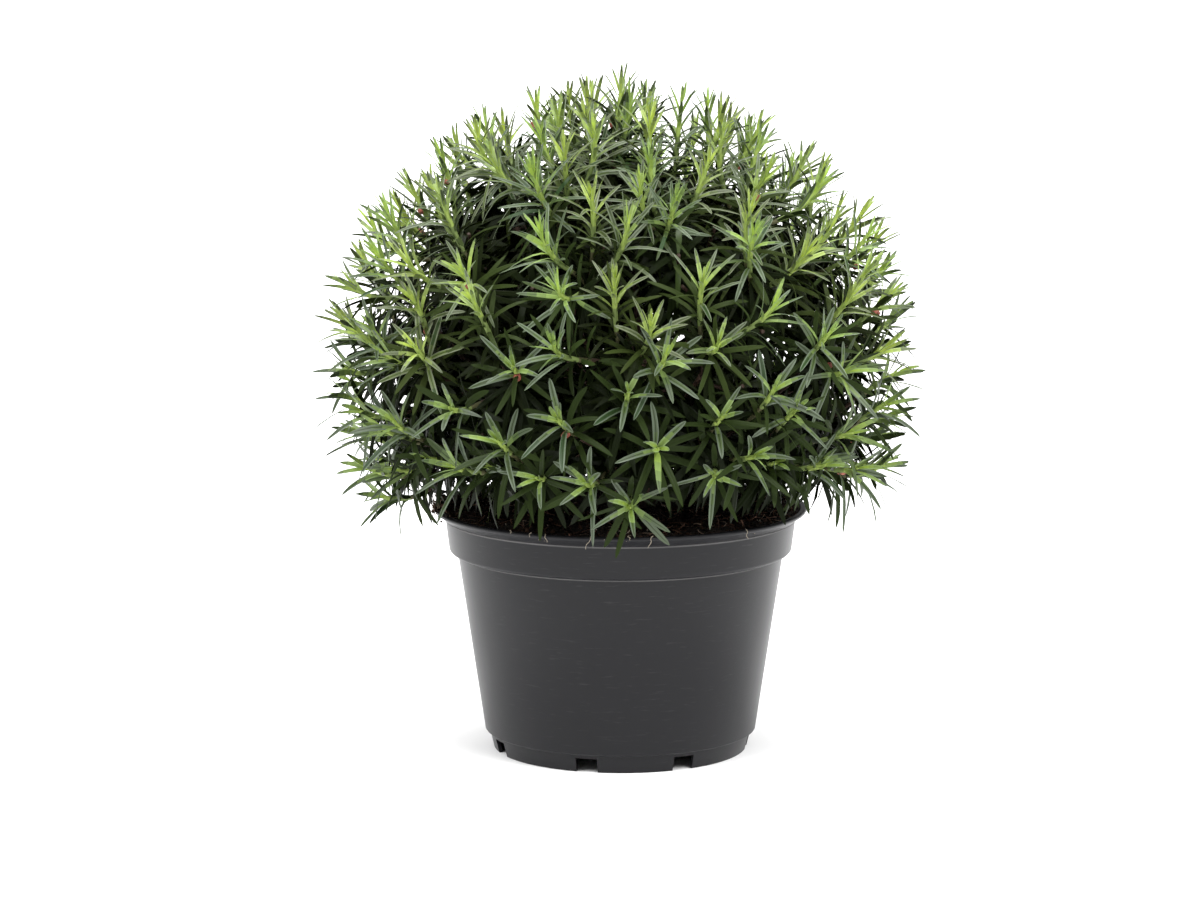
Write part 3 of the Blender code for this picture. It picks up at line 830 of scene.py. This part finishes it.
def leaf_tones(leaves, rows, strips):
    """A colour number for each face of each leaf: lime at a young foot, deeper to the tip and with age; painted
    shade by depth below the crown's outline, half shade and then shade; a darker middle strip for the painted shade
    of the midrib's groove, and paler outer strips for painted sheen on leaves out of the painted shade.
    """
    t = ((rows[1:] + rows[:-1]) / 2)[None]
    tone = leaves["tone"][:, None] + leaves["tip_tone"][:, None] * t**1.5
    number = np.clip(np.floor(tone + 0.5), LIME, DEEP).astype(int)
    kind = leaves["hue"][:, None] + 0.45 * (t - 0.3)
    old = number == DEEP
    number = np.where(old & (kind < 0.34), MOSS, number)
    number = np.where(old & ((kind > 0.62) | (leaves["tone"][:, None] < 2.5)), GREY, number)
    # Painted shade: half shade, then shade, by depth below the outline; it starts deeper high up in the crown.
    high = np.clip((leaves["foot"][:, None, 2] - 0.25) / 0.07, 0.0, 1.0)
    half_shade = HALF_SHADE_DEPTH[0] + (HALF_SHADE_DEPTH[1] - HALF_SHADE_DEPTH[0]) * high
    deeper = leaves["depth"][:, None] + 0.014 * (leaves["hue"][:, None] * 5 % 1 - 0.5) + t * 0 - half_shade
    number = np.where(deeper > 0, HALF_SHADE, number)
    number = np.where(deeper > SHADE_DEPTH, SHADE, number)
    number = np.repeat(number[:, :, None], strips, axis=2)
    if strips % 2:
        middle = strips // 2
        # Painted shade: the middle strip of full-grown leaves is darker, for the shade in the midrib's groove.
        dark = np.isin(number[:, :, middle], (GREEN, DEEP, MOSS, GREY))
        number[:, :, middle] = np.where(dark, RIB_SHADE, number[:, :, middle])
        # Painted sheen: the two outer strips of most leaves out of the painted shade are paler.
        light = (leaves["hue"][:, None] * 7) % 1 < 0.8
        for side in (0, strips - 1):
            blade = number[:, :, side]
            pale = np.where(blade <= FRESH, EDGE_SHEEN_FRESH, EDGE_SHEEN)
            number[:, :, side] = np.where(light & (t > 0.12) & (blade < HALF_SHADE), pale, blade)
    return number


def picked(leaves, chosen):
    return {key: values[chosen] for key, values in leaves.items()}


def clear_of_pot(points):
    """Leaves no part of which lies in the pot or its lip."""
    away = np.hypot(points[..., 0], points[..., 1])
    inside = (away < POT_HIGH.x + 0.0015) & (points[..., 2] < POT_HIGH.z + 0.0012)
    return ~inside.any(axis=(1, 2))


def between(one, other, part=0.5):
    return [a + (b - a) * part for a, b in zip(one, other)]


def leaf_materials(leaf):
    # The half shade and the shade are painted shade, the two margin colours painted sheen, and the midrib colour
    # painted shade in its groove.
    colours = (
        leaf.lime, between(leaf.lime, leaf.fresh), leaf.fresh, between(leaf.fresh, leaf.green),
        leaf.green, leaf.deep, leaf.moss, leaf.grey, between(leaf.shade, leaf.deep, 0.55), leaf.shade,
        leaf.edge_sheen_fresh, leaf.edge, leaf.rib_shade,
    )
    materials = []
    for number, tint in enumerate(SPRAY_TINTS_AND_LOW_SHADE):
        for name, base in zip(TONE_NAMES, colours):
            shade = [min(1.0, c * k) for c, k in zip(base, tint)]
            gloss = 0.05 if name in ("half_shade", "shade") else 0.24
            materials.append(plain(f"leaf_{name}_{number + 1}", shade, 0.40, gloss))
    return materials


def add_leaves(pile, leaves, rows, spread, relief, tint):
    if not len(leaves["back"]):
        return
    points = leaf_sheets(leaves, rows, spread, relief)
    clear = clear_of_pot(points)
    points, leaves = points[clear], picked(leaves, clear)
    strips = len(spread) - 1
    tones = leaf_tones(leaves, rows, strips)
    faces = sheet_faces(len(points), len(rows) - 1, strips)
    pile.add(points, faces, tones.reshape(-1) + tint * len(TONE_NAMES))


# Pot
def arc(centre, radii, start, end):
    """Points on an elliptic arc, its first point left out."""
    turns = [start + (end - start) * (i + 1) / POT_ARC_STEPS for i in range(POT_ARC_STEPS)]
    return [(centre[0] + radii[0] * cos(turn), centre[1] + radii[1] * sin(turn)) for turn in turns]


def pot_heights(pot):
    """Heights of the collar's top, the shoulder's top and the body's top."""
    collar_top = pot.height - LIP_FLARE_HEIGHT
    shoulder_top = collar_top - COLLAR_HEIGHT
    return collar_top, shoulder_top, shoulder_top - SHOULDER_DROP


def pot_profile(pot):
    """The wall's section from the floor's middle, up inside, over the rolled lip and down outside."""
    floor = BASE_UNDERSIDE + BASE_THICKNESS
    collar_top, shoulder_top, body_top = pot_heights(pot)
    inside = [
        (0.0, floor),
        (FOOT_TOP_RADIUS - WALL, floor),
        (BODY_BOTTOM_RADIUS - WALL, floor + WALL),
        (BODY_TOP_RADIUS - WALL, body_top + WALL),
        (COLLAR_BOTTOM_RADIUS - WALL, shoulder_top + WALL),
        (COLLAR_TOP_RADIUS - WALL, collar_top),
        (pot.lip_radius - 0.0046, pot.height - 0.0022),
        (pot.lip_radius - 0.0032, pot.height - 0.0004),
    ]
    roll_middle = (pot.lip_radius - LIP_ROLL, pot.height - LIP_ROLL)
    lip = arc(roll_middle, (LIP_ROLL, LIP_ROLL), pi * 0.62, -pi * 0.30)
    lip += [
        (pot.lip_radius - 0.0022, pot.height - 0.0034),
        (COLLAR_TOP_RADIUS + 0.0021, collar_top + 0.0015),
        (COLLAR_TOP_RADIUS + 0.0009, collar_top + 0.0005),
    ]
    bead = (BEAD, BEAD)
    collar = arc((COLLAR_TOP_RADIUS + 0.0001, collar_top), bead, pi * 0.40, -pi * 0.40)
    collar.append((COLLAR_BOTTOM_RADIUS, shoulder_top))
    shoulder_width = COLLAR_BOTTOM_RADIUS - BODY_TOP_RADIUS
    shoulder = arc((BODY_TOP_RADIUS, shoulder_top), (shoulder_width, SHOULDER_DROP), 0.0, -pi * 0.36)
    body = arc((BODY_TOP_RADIUS + 0.0004, body_top), bead, pi * 0.40, -pi * 0.40)
    foot = [
        (BODY_BOTTOM_RADIUS, STEP_HEIGHT),
        (BODY_BOTTOM_RADIUS - 0.0003, STEP_HEIGHT - 0.0004),
        (FOOT_TOP_RADIUS + 0.0003, STEP_HEIGHT - STEP_DROP + 0.0004),
        (FOOT_TOP_RADIUS, STEP_HEIGHT - STEP_DROP),
        (FOOT_BOTTOM_RADIUS, 0.0004),
        (FOOT_BOTTOM_RADIUS - 0.0004, 0.0),
        (FOOT_BOTTOM_RADIUS - FOOT_RING_WIDTH, 0.0),
        (FOOT_TOP_RADIUS - FOOT_RING_WIDTH, BASE_UNDERSIDE),
        (0.0, BASE_UNDERSIDE),
    ]
    return inside + lip + collar + shoulder + body + foot


def turned(name, profile):
    """A mesh turned from a profile round the Z axis."""
    mesh = bpy.data.meshes.new(name)
    mesh.from_pydata([(r, 0.0, z) for r, z in profile], [(i, i + 1) for i in range(len(profile) - 1)], [])
    piece = show(name, mesh)
    screw = piece.modifiers.new("Turn", "SCREW")
    screw.steps = screw.render_steps = POT_TURN_STEPS
    screw.use_merge_vertices = True
    screw.merge_threshold = 0.00001
    return piece


def notch_cutter(name, radii, bottom, top):
    """Boxes round the pot's axis, one at each drain notch."""
    first, last = NOTCH_FRONT_ANGLES[0], NOTCH_FRONT_ANGLES[-1]
    pitch = (360 - (last - first)) / (NOTCHES_BEHIND + 1)
    angles = list(NOTCH_FRONT_ANGLES) + [last + pitch * (i + 1) for i in range(NOTCHES_BEHIND)]
    bm = bmesh.new()
    size = Matrix.Diagonal((NOTCH_WIDTH, radii[1] - radii[0], top - bottom, 1.0))
    place = Matrix.Translation((0.0, -(radii[0] + radii[1]) / 2, (bottom + top) / 2))
    for turn in angles:
        bmesh.ops.create_cube(bm, size=1.0, matrix=Matrix.Rotation(radians(turn), 4, "Z") @ place @ size)
    mesh = bpy.data.meshes.new(name)
    bm.to_mesh(mesh)
    bm.free()
    return show(name, mesh)


def applied(piece):
    """The piece with its modifiers worked into its mesh."""
    mesh = bpy.data.meshes.new_from_object(piece.evaluated_get(bpy.context.evaluated_depsgraph_get()))
    mesh.name = piece.name
    piece.modifiers.clear()
    piece.data = mesh
    return piece


# Soil
def soil_height(soil, x, y):
    """Height of the uneven heap of soil."""
    away = hypot(x, y) / SOIL_RADIUS
    heap = 1 - min(1.0, away) ** 4
    lumps = noise.noise(Vector((x / 0.026, y / 0.026, 3.7)))
    clods = noise.noise(Vector((x / 0.009, y / 0.009, 8.1))) * 0.55
    grains = noise.noise(Vector((x / 0.0035, y / 0.0035, 1.3))) * 0.30
    base = POT_HIGH.z - soil.edge_drop + heap * soil.heap
    return base + soil.lump * (lumps * heap + (clods + grains) * (0.35 + 0.65 * heap))


def soil_mesh(soil):
    """The heap's surface on rings, down the wall and closed underneath."""
    rings, sides = 84, 200
    points = [(0.0, 0.0, soil_height(soil, 0.0, 0.0))]
    for ring in range(1, rings + 1):
        radius = SOIL_RADIUS * (ring / rings) ** 0.85
        for i in range(sides):
            turn = tau * i / sides
            x, y = radius * cos(turn), radius * sin(turn)
            points.append((x, y, soil_height(soil, x, y)))
    floor = POT_HIGH.z - 0.020
    for radius, height in ((COLLAR_TOP_RADIUS, POT_HIGH.z - 0.0058), (COLLAR_BOTTOM_RADIUS, floor)):
        inner = radius - WALL - 0.0005
        points += [(inner * cos(tau * i / sides), inner * sin(tau * i / sides), height) for i in range(sides)]
    rings += 1
    points.append((0.0, 0.0, floor))
    fan = [(0, 1 + i, 1 + (i + 1) % sides) for i in range(sides)]
    first = 1 + np.arange(rings)[:, None] * sides
    here = np.arange(sides)[None]
    after = (here + 1) % sides
    walls = np.stack([first + here, first + sides + here, first + sides + after, first + after], -1)
    last = 1 + rings * sides
    base = [(last + sides, last + (i + 1) % sides, last + i) for i in range(sides)]
    pile = Pile()
    pile.add(points, np.array(fan + base))
    pile.faces.append(walls.reshape(-1, 4))
    pile.finishes.append(np.zeros(rings * sides, int))
    return pile


def on_soil(soil, rng, number, low=0.10):
    """Random places on the soil, as an array."""
    away = SOIL_RADIUS * np.sqrt(rng.uniform(low, 1.0, number))
    turn = rng.uniform(0, tau, number)
    places = np.stack((away * np.cos(turn), away * np.sin(turn), np.zeros(number)), axis=-1)
    places[:, 2] = [soil_height(soil, x, y) for x, y in places[:, :2]]
    return places


def crumb_shape():
    """Corners and faces of a small round lump."""
    bm = bmesh.new()
    bmesh.ops.create_icosphere(bm, subdivisions=1, radius=0.5)
    points = np.array([vertex.co for vertex in bm.verts])
    faces = np.array([[vertex.index for vertex in face.verts] for face in bm.faces])
    bm.free()
    return points, faces


def add_crumbs(pile, places, sizes, finishes, rng, flatness=(1.0, 0.8, 0.62)):
    """Uneven lumps, each turned its own way."""
    points, faces = crumb_shape()
    number = len(places)
    uneven = points[None] * rng.uniform(0.62, 1.18, (number, len(points), 1)) * np.array(flatness)
    turned_points = np.einsum("nij,npj->npi", random_turns(rng, number), uneven)
    shapes = places[:, None] + turned_points * sizes[:, None, None]
    all_faces = faces[None] + (np.arange(number) * len(points))[:, None, None]
    pile.add(shapes, all_faces.reshape(-1, 3), np.repeat(finishes, len(faces)))


# Operators
class StageOperator(bpy.types.Operator):
    """Put down the pale floor, the soft light and the camera."""

    bl_idname = "podocarpus.stage"
    bl_label = "Stage"

    def execute(self, context):
        stage = context.scene.podocarpus_stage
        bm = bmesh.new()
        bmesh.ops.create_circle(bm, cap_ends=True, segments=96, radius=stage.floor_radius)
        mesh = bpy.data.meshes.new("floor")
        bm.to_mesh(mesh)
        bm.free()
        mesh.materials.append(plain("pale_floor", stage.floor_colour, 0.9, 0.2))
        show("floor", mesh)
        self.make_light(context, stage)
        self.make_camera(context, stage)
        return {"FINISHED"}

    def make_light(self, context, stage):
        world = bpy.data.worlds.new("white_surround")
        world.use_nodes = True
        world.node_tree.nodes["Background"].inputs["Color"].default_value = (1.0, 1.0, 1.0, 1.0)
        world.node_tree.nodes["Background"].inputs["Strength"].default_value = stage.sky_strength
        context.scene.world = world
        for name, place, part in LAMPS:
            light = bpy.data.lights.new(name, "SUN")
            light.energy = stage.key_strength * part
            light.angle = stage.key_spread
            lamp = bpy.data.objects.new(name, light)
            lamp.location = place
            lamp.rotation_euler = (-lamp.location).to_track_quat("-Z", "Y").to_euler()
            context.scene.collection.objects.link(lamp)
        context.scene.view_settings.view_transform = "Standard"

    def make_camera(self, context, stage):
        camera = bpy.data.cameras.new("camera")
        camera.sensor_width = 36.0
        camera.lens = stage.camera_lens
        holder = bpy.data.objects.new("camera", camera)
        holder.location = (-stage.camera_aside, -stage.camera_distance, stage.camera_height)
        holder.rotation_euler = (pi / 2 - stage.camera_tilt, 0.0, 0.0)
        context.scene.collection.objects.link(holder)
        context.scene.camera = holder


class PotOperator(bpy.types.Operator):
    """Turn the nursery pot, with its drain notches and slots."""

    bl_idname = "podocarpus.pot"
    bl_label = "Pot"

    def execute(self, context):
        pot = context.scene.podocarpus_pot
        shell = turned("pot_shell", pot_profile(pot))
        notches = notch_cutter("notches", (SLOT_RADII[0], FOOT_TOP_RADIUS + 0.004), -0.004, NOTCH_HEIGHT)
        slots = notch_cutter(
            "slots", SLOT_RADII, BASE_UNDERSIDE - 0.004, BASE_UNDERSIDE + BASE_THICKNESS + 0.004
        )
        for cutter in (notches, slots):
            boolean = shell.modifiers.new(cutter.name, "BOOLEAN")
            boolean.operation = "DIFFERENCE"
            boolean.solver = "EXACT"
            boolean.object = cutter
        applied(shell)
        for cutter in (notches, slots):
            bpy.data.objects.remove(cutter, do_unlink=True)
        shell.data.shade_smooth()
        shell.data.set_sharp_from_angle(angle=radians(38))
        shell.data.materials.clear()
        shell.data.materials.append(plastic_finish(pot))
        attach(shell, "root")
        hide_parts("pot")
        return {"FINISHED"}


class SoilOperator(bpy.types.Operator):
    """Fill the pot with soil, and scatter crumbs, fibres and white grains on it."""

    bl_idname = "podocarpus.soil"
    bl_label = "Soil"

    def execute(self, context):
        soil = context.scene.podocarpus_soil
        rng = np.random.default_rng(4)
        self.lip = context.scene.podocarpus_pot.lip_radius
        bed = soil_mesh(soil).make("soil_bed", [soil_finish(soil)])
        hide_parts("soil")
        for piece in (bed, self.crumbs(soil, rng), self.fibres(soil, rng), self.grains(soil, rng)):
            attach(piece, "root")
        return {"FINISHED"}

    def over_lip(self, rng, number):
        """Places of a small spill over the lip at the left."""
        turn = rng.normal(pi * 1.02, 0.13, number)
        out = np.minimum(0.0042, np.abs(rng.normal(0.0, 0.0024, number)))
        places = np.stack((np.cos(turn), np.sin(turn), turn * 0), axis=-1) * (self.lip - 0.0034 + out)[:, None]
        places[:, 2] = POT_HIGH.z + 0.0008 - np.maximum(0.0, out - 0.0030) * rng.uniform(0.0, 5.0, number)
        return places

    def crumbs(self, soil, rng):
        pile = Pile()
        spilled = 190
        places = np.concatenate((on_soil(soil, rng, soil.crumbs), self.over_lip(rng, spilled)))
        number = len(places)
        sizes = soil.crumb_size * np.exp(rng.normal(0.0, 0.42, number))
        add_crumbs(pile, places, sizes, rng.integers(0, 4, number), rng)
        dark = between(soil.peat, (0.0, 0.0, 0.0))
        colours = [soil.peat, dark, between(soil.peat, soil.fibre, 0.5), between(soil.peat, soil.fibre, 0.2)]
        materials = [plain(f"crumb_{i + 1}", shade, 0.95, 0.2) for i, shade in enumerate(colours)]
        return pile.make("soil_crumbs", materials, smooth=False)

    def fibres(self, soil, rng):
        pile = Pile()
        for place in np.concatenate((on_soil(soil, rng, soil.fibres), self.over_lip(rng, 46))):
            spilled = hypot(place[0], place[1]) > SOIL_RADIUS + 0.0005
            flat = np.array((1.0, 1.0, 0.4))
            way = unit(rng.normal(size=3) * flat - (0, 0, 1.6 * spilled))
            curl = unit(rng.normal(size=3) * flat)
            run = rng.uniform(0.004, 0.013)
            t = np.linspace(-0.5, 0.5, 6)[:, None]
            points = place + (0, 0, 0.0010) + way * run * t + curl * run * 0.9 * (t**2 - 0.1)
            kind = int(rng.choice(4, p=(0.42, 0.36, 0.17, 0.05)))
            add_tube(pile, points, np.full(6, 0.00012 + 0.0004 * rng.random() ** 2), 4, kind)
        for x, long, lean in LIP_ROOTS:
            self.lip_root(pile, x, long, lean)
        dark = between(soil.fibre, (0.0, 0.0, 0.0))
        colours = [soil.fibre, dark, between(soil.fibre, soil.straw, 0.3), soil.straw]
        materials = [plain(f"fibre_{i + 1}", shade, 0.8, 0.3) for i, shade in enumerate(colours)]
        return pile.make("soil_fibres", materials)

    def lip_root(self, pile, x, long, lean):
        """A dry rootlet that hangs over the front of the lip."""
        t = np.linspace(0.0, 1.0, 7)
        down = long * t
        aside = x + lean * t + 0.0005 * np.sin(t * 9 + x * 900)
        out = np.where(down < 0.0012, self.lip - 0.0012 + down, self.lip + 0.0002)
        points = np.stack((aside, -np.sqrt(out**2 - aside**2), POT_HIGH.z + 0.0004 - np.maximum(0.0, down - 0.0008)), -1)
        add_tube(pile, points, np.linspace(0.00022, 0.00013, 7), 5, 3)

    def grains(self, soil, rng):
        pile = Pile()
        lying = on_soil(soil, rng, soil.grains) + (0, 0, 0.0008)
        clinging = np.array([self.on_pot(rng) for _ in range(26)])
        places = np.concatenate((lying, clinging))
        sizes = np.concatenate((rng.uniform(0.0007, 0.0019, len(lying)), rng.uniform(0.0004, 0.0008, len(clinging))))
        add_crumbs(pile, places, sizes, np.zeros(len(places), int), rng)
        return pile.make("white_grains", [plain("white_grain", soil.straw, 0.8, 0.3)], smooth=False)

    def on_pot(self, rng):
        """A random place on the pot's body or the face of its lip."""
        turn = rng.uniform(0, tau)
        if rng.random() < 0.45:
            radius, height = self.lip, POT_HIGH.z - rng.uniform(0.0008, 0.0044)
        else:
            height = rng.uniform(STEP_HEIGHT, 0.100)
            radius = BODY_BOTTOM_RADIUS + (BODY_TOP_RADIUS - BODY_BOTTOM_RADIUS) * (height - STEP_HEIGHT) / 0.1007
        return radius * cos(turn), radius * sin(turn), height


class BarkOperator(bpy.types.Operator):
    """Grow the bark of the trunk and the boughs over the frame's limbs."""

    bl_idname = "podocarpus.bark"
    bl_label = "Trunk and boughs"

    def execute(self, context):
        bark = context.scene.podocarpus_bark
        pile = Pile()
        self.limb(pile, "trunk", TRUNK_RINGS, bark, 44, 0.0006, 0.0)
        for bough in BOUGHS:
            self.limb(pile, bough, BOUGH_RINGS, bark, 18, 0.0009, 0.003)
        piece = pile.make("trunk_and_boughs", [bark_finish(bark)])
        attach(piece, "root")
        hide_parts("trunk", *BOUGHS)
        return {"FINISHED"}

    def limb(self, pile, node, rings, bark, sides, step, sunk):
        """One limb, its foot sunk a little into what carries it."""
        middles, radii = limb_rings(node, rings)
        places, radii = smooth_limb(middles, radii, step)
        if sunk:
            way = unit(places[0] - places[1])
            places = np.concatenate(([places[0] + way * sunk], places))
            radii = np.concatenate(([radii[0] * 1.5], radii))
            radii[1:6] *= np.linspace(1.45, 1.05, 5)
        relief = np.empty((len(places), sides))
        for row, (place, radius) in enumerate(zip(places, radii)):
            for column in range(sides):
                turn = tau * column / sides
                around = Vector((cos(turn), sin(turn), 0.0))
                ridge = noise.noise(around * 3.1 + Vector((0.0, 0.0, row * step * 60 + radius * 1000)))
                knot = noise.noise(around * 1.1 + Vector((0.0, 0.0, row * step * 190)))
                relief[row, column] = radius * (1 + bark.ridge * ridge + 0.5 * bark.ridge * knot)
        add_tube(pile, places, relief, sides)


def twig_materials(bark, leaf):
    shades = (
        bark.twig,
        between(bark.twig, (0.0, 0.0, 0.0)),
        between(bark.twig, leaf.green),
        between(leaf.fresh, leaf.green),
        between(leaf.lime, leaf.fresh, 0.7),
    )
    names = ("twig_brown", "twig_dark", "shoot_olive", "shoot_green", "shoot_lime")
    return [plain(name, shade, 0.6, 0.4) for name, shade in zip(names, shades)]


class TwigsOperator(bpy.types.Operator):
    """Branch the twigs on from the boughs, out to every shoot's apex."""

    bl_idname = "podocarpus.twigs"
    bl_label = "Twigs"

    def execute(self, context):
        branchlets, shoots = grow(context.scene.podocarpus_crown)
        pile = Pile()
        for number, (mass, line) in enumerate(branchlets):
            marks = np.linspace(0.0, line.length, 12)
            add_tube(pile, line.at(marks), np.linspace(0.0015, 0.00125, 12), 8, number % 2)
        for shoot in shoots:
            add_stem(pile, shoot)
        piece = pile.make("twigs", twig_materials(context.scene.podocarpus_bark, context.scene.podocarpus_leaf))
        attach(piece, "root")
        return {"FINISHED"}


class LeavesOperator(bpy.types.Operator):
    """Set the leaves spirally on the shoots, one joined piece for each mass of foliage."""

    bl_idname = "podocarpus.leaves"
    bl_label = "Leaves"

    def execute(self, context):
        crown = context.scene.podocarpus_crown
        leaf = context.scene.podocarpus_leaf
        shoots = grow(crown)[1]
        materials = leaf_materials(leaf)
        for mass in MASSES:
            pile = Pile()
            for shoot in shoots:
                if shoot.mass == mass:
                    self.dress(pile, shoot, leaf, crown.seed)
            piece = pile.make(mass.replace("foliage", "leaves"), materials)
            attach(piece, "root")
            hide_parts(mass)
        return {"FINISHED"}

    def dress(self, pile, shoot, leaf, seed):
        leaves = leaves_of(shoot, leaf, seed)
        # Painted shade: shoots low down under the crown take the darker last tint.
        low_down = shoot.ageing > 1.30 or shoot.line.points[-1, 2] < LOW_DOWN
        tint = len(SPRAY_TINTS_AND_LOW_SHADE) - 1 if low_down else shoot.number % (len(SPRAY_TINTS_AND_LOW_SHADE) - 1)
        inner = leaves["back"] > INNER_LEAVES_AT
        add_leaves(pile, picked(leaves, ~inner), LEAF_ROWS, LEAF_ACROSS, LEAF_RELIEF, tint)
        add_leaves(pile, picked(leaves, inner), INNER_ROWS, INNER_ACROSS, INNER_RELIEF, tint)


class BudsOperator(bpy.types.Operator):
    """Seat the small red-brown buds on the shoots."""

    bl_idname = "podocarpus.buds"
    bl_label = "Buds"

    def execute(self, context):
        bud = context.scene.podocarpus_bud
        shoots = grow(context.scene.podocarpus_crown)[1]
        rng = np.random.default_rng(9)
        pile = Pile()
        outer = [shoot for shoot in shoots if not shoot.old]
        for shoot in [outer[i] for i in rng.choice(len(outer), bud.buds, replace=False)]:
            back = rng.uniform(0.014, 0.030)
            place = shoot.line.at(shoot.line.length - back)
            stem = shoot.line.along(shoot.line.length - back)
            outward = unit(place - CROWN_CENTRE)
            aside = np.cross(stem, outward) * rng.choice((-1, 1))
            way = unit(unit(outward - stem * outward.dot(stem)) * 0.5 + aside + stem * 0.8)
            self.bud(pile, place + way * 0.0012, way, bud.bud_length * rng.uniform(0.75, 1.15))
        shades = (bud.red, [c * 0.55 for c in bud.red])
        materials = [plain(f"bud_{i + 1}", shade, 0.55, 0.4) for i, shade in enumerate(shades)]
        piece = pile.make("buds", materials)
        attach(piece, "root")
        return {"FINISHED"}

    def bud(self, pile, foot, way, long):
        """An egg-shaped bud whose scales show as steps."""
        t = np.linspace(0.0, 1.0, 13)
        shape = np.sqrt(np.maximum(0.0, np.sin(pi * t**0.8))) * (1 - 0.25 * t)
        scales = 1 + 0.16 * ((t * 4) % 1)
        radii = long * (0.34 * shape * scales + 0.03)
        finish = (np.arange(12) // 3) % 2
        add_tube(pile, foot + way * long * t[:, None], radii, 9, finish)


STEPS = (StageOperator, PotOperator, SoilOperator, BarkOperator, TwigsOperator, LeavesOperator, BudsOperator)


class PodocarpusPanel(bpy.types.Panel):
    """The steps that build the plant, and their sizes and colours."""

    bl_idname = "VIEW3D_PT_podocarpus"
    bl_label = "Potted podocarpus"
    bl_space_type = "VIEW_3D"
    bl_region_type = "UI"
    bl_category = "Podocarpus"

    def draw(self, context):
        for step in STEPS:
            self.layout.operator(step.bl_idname)
        for name, group in SETTINGS.items():
            box = self.layout.box()
            for key in group.__annotations__:
                box.prop(getattr(context.scene, name), key)


SETTINGS = {
    "podocarpus_stage": StageSettings,
    "podocarpus_pot": PotSettings,
    "podocarpus_soil": SoilSettings,
    "podocarpus_bark": BarkSettings,
    "podocarpus_crown": CrownSettings,
    "podocarpus_leaf": LeafSettings,
    "podocarpus_bud": BudSettings,
}


def register():
    for group in (*SETTINGS.values(), *STEPS, PodocarpusPanel):
        bpy.utils.register_class(group)
    for name, group in SETTINGS.items():
        setattr(bpy.types.Scene, name, PointerProperty(type=group))


def unregister():
    for name in SETTINGS:
        delattr(bpy.types.Scene, name)
    for group in reversed((*SETTINGS.values(), *STEPS, PodocarpusPanel)):
        bpy.utils.unregister_class(group)


def main():
    register()
    bpy.ops.podocarpus.stage()
    bpy.ops.podocarpus.pot()
    bpy.ops.podocarpus.soil()
    bpy.ops.podocarpus.bark()
    bpy.ops.podocarpus.twigs()
    bpy.ops.podocarpus.leaves()
    bpy.ops.podocarpus.buds()


if __name__ == "__main__":
    main()
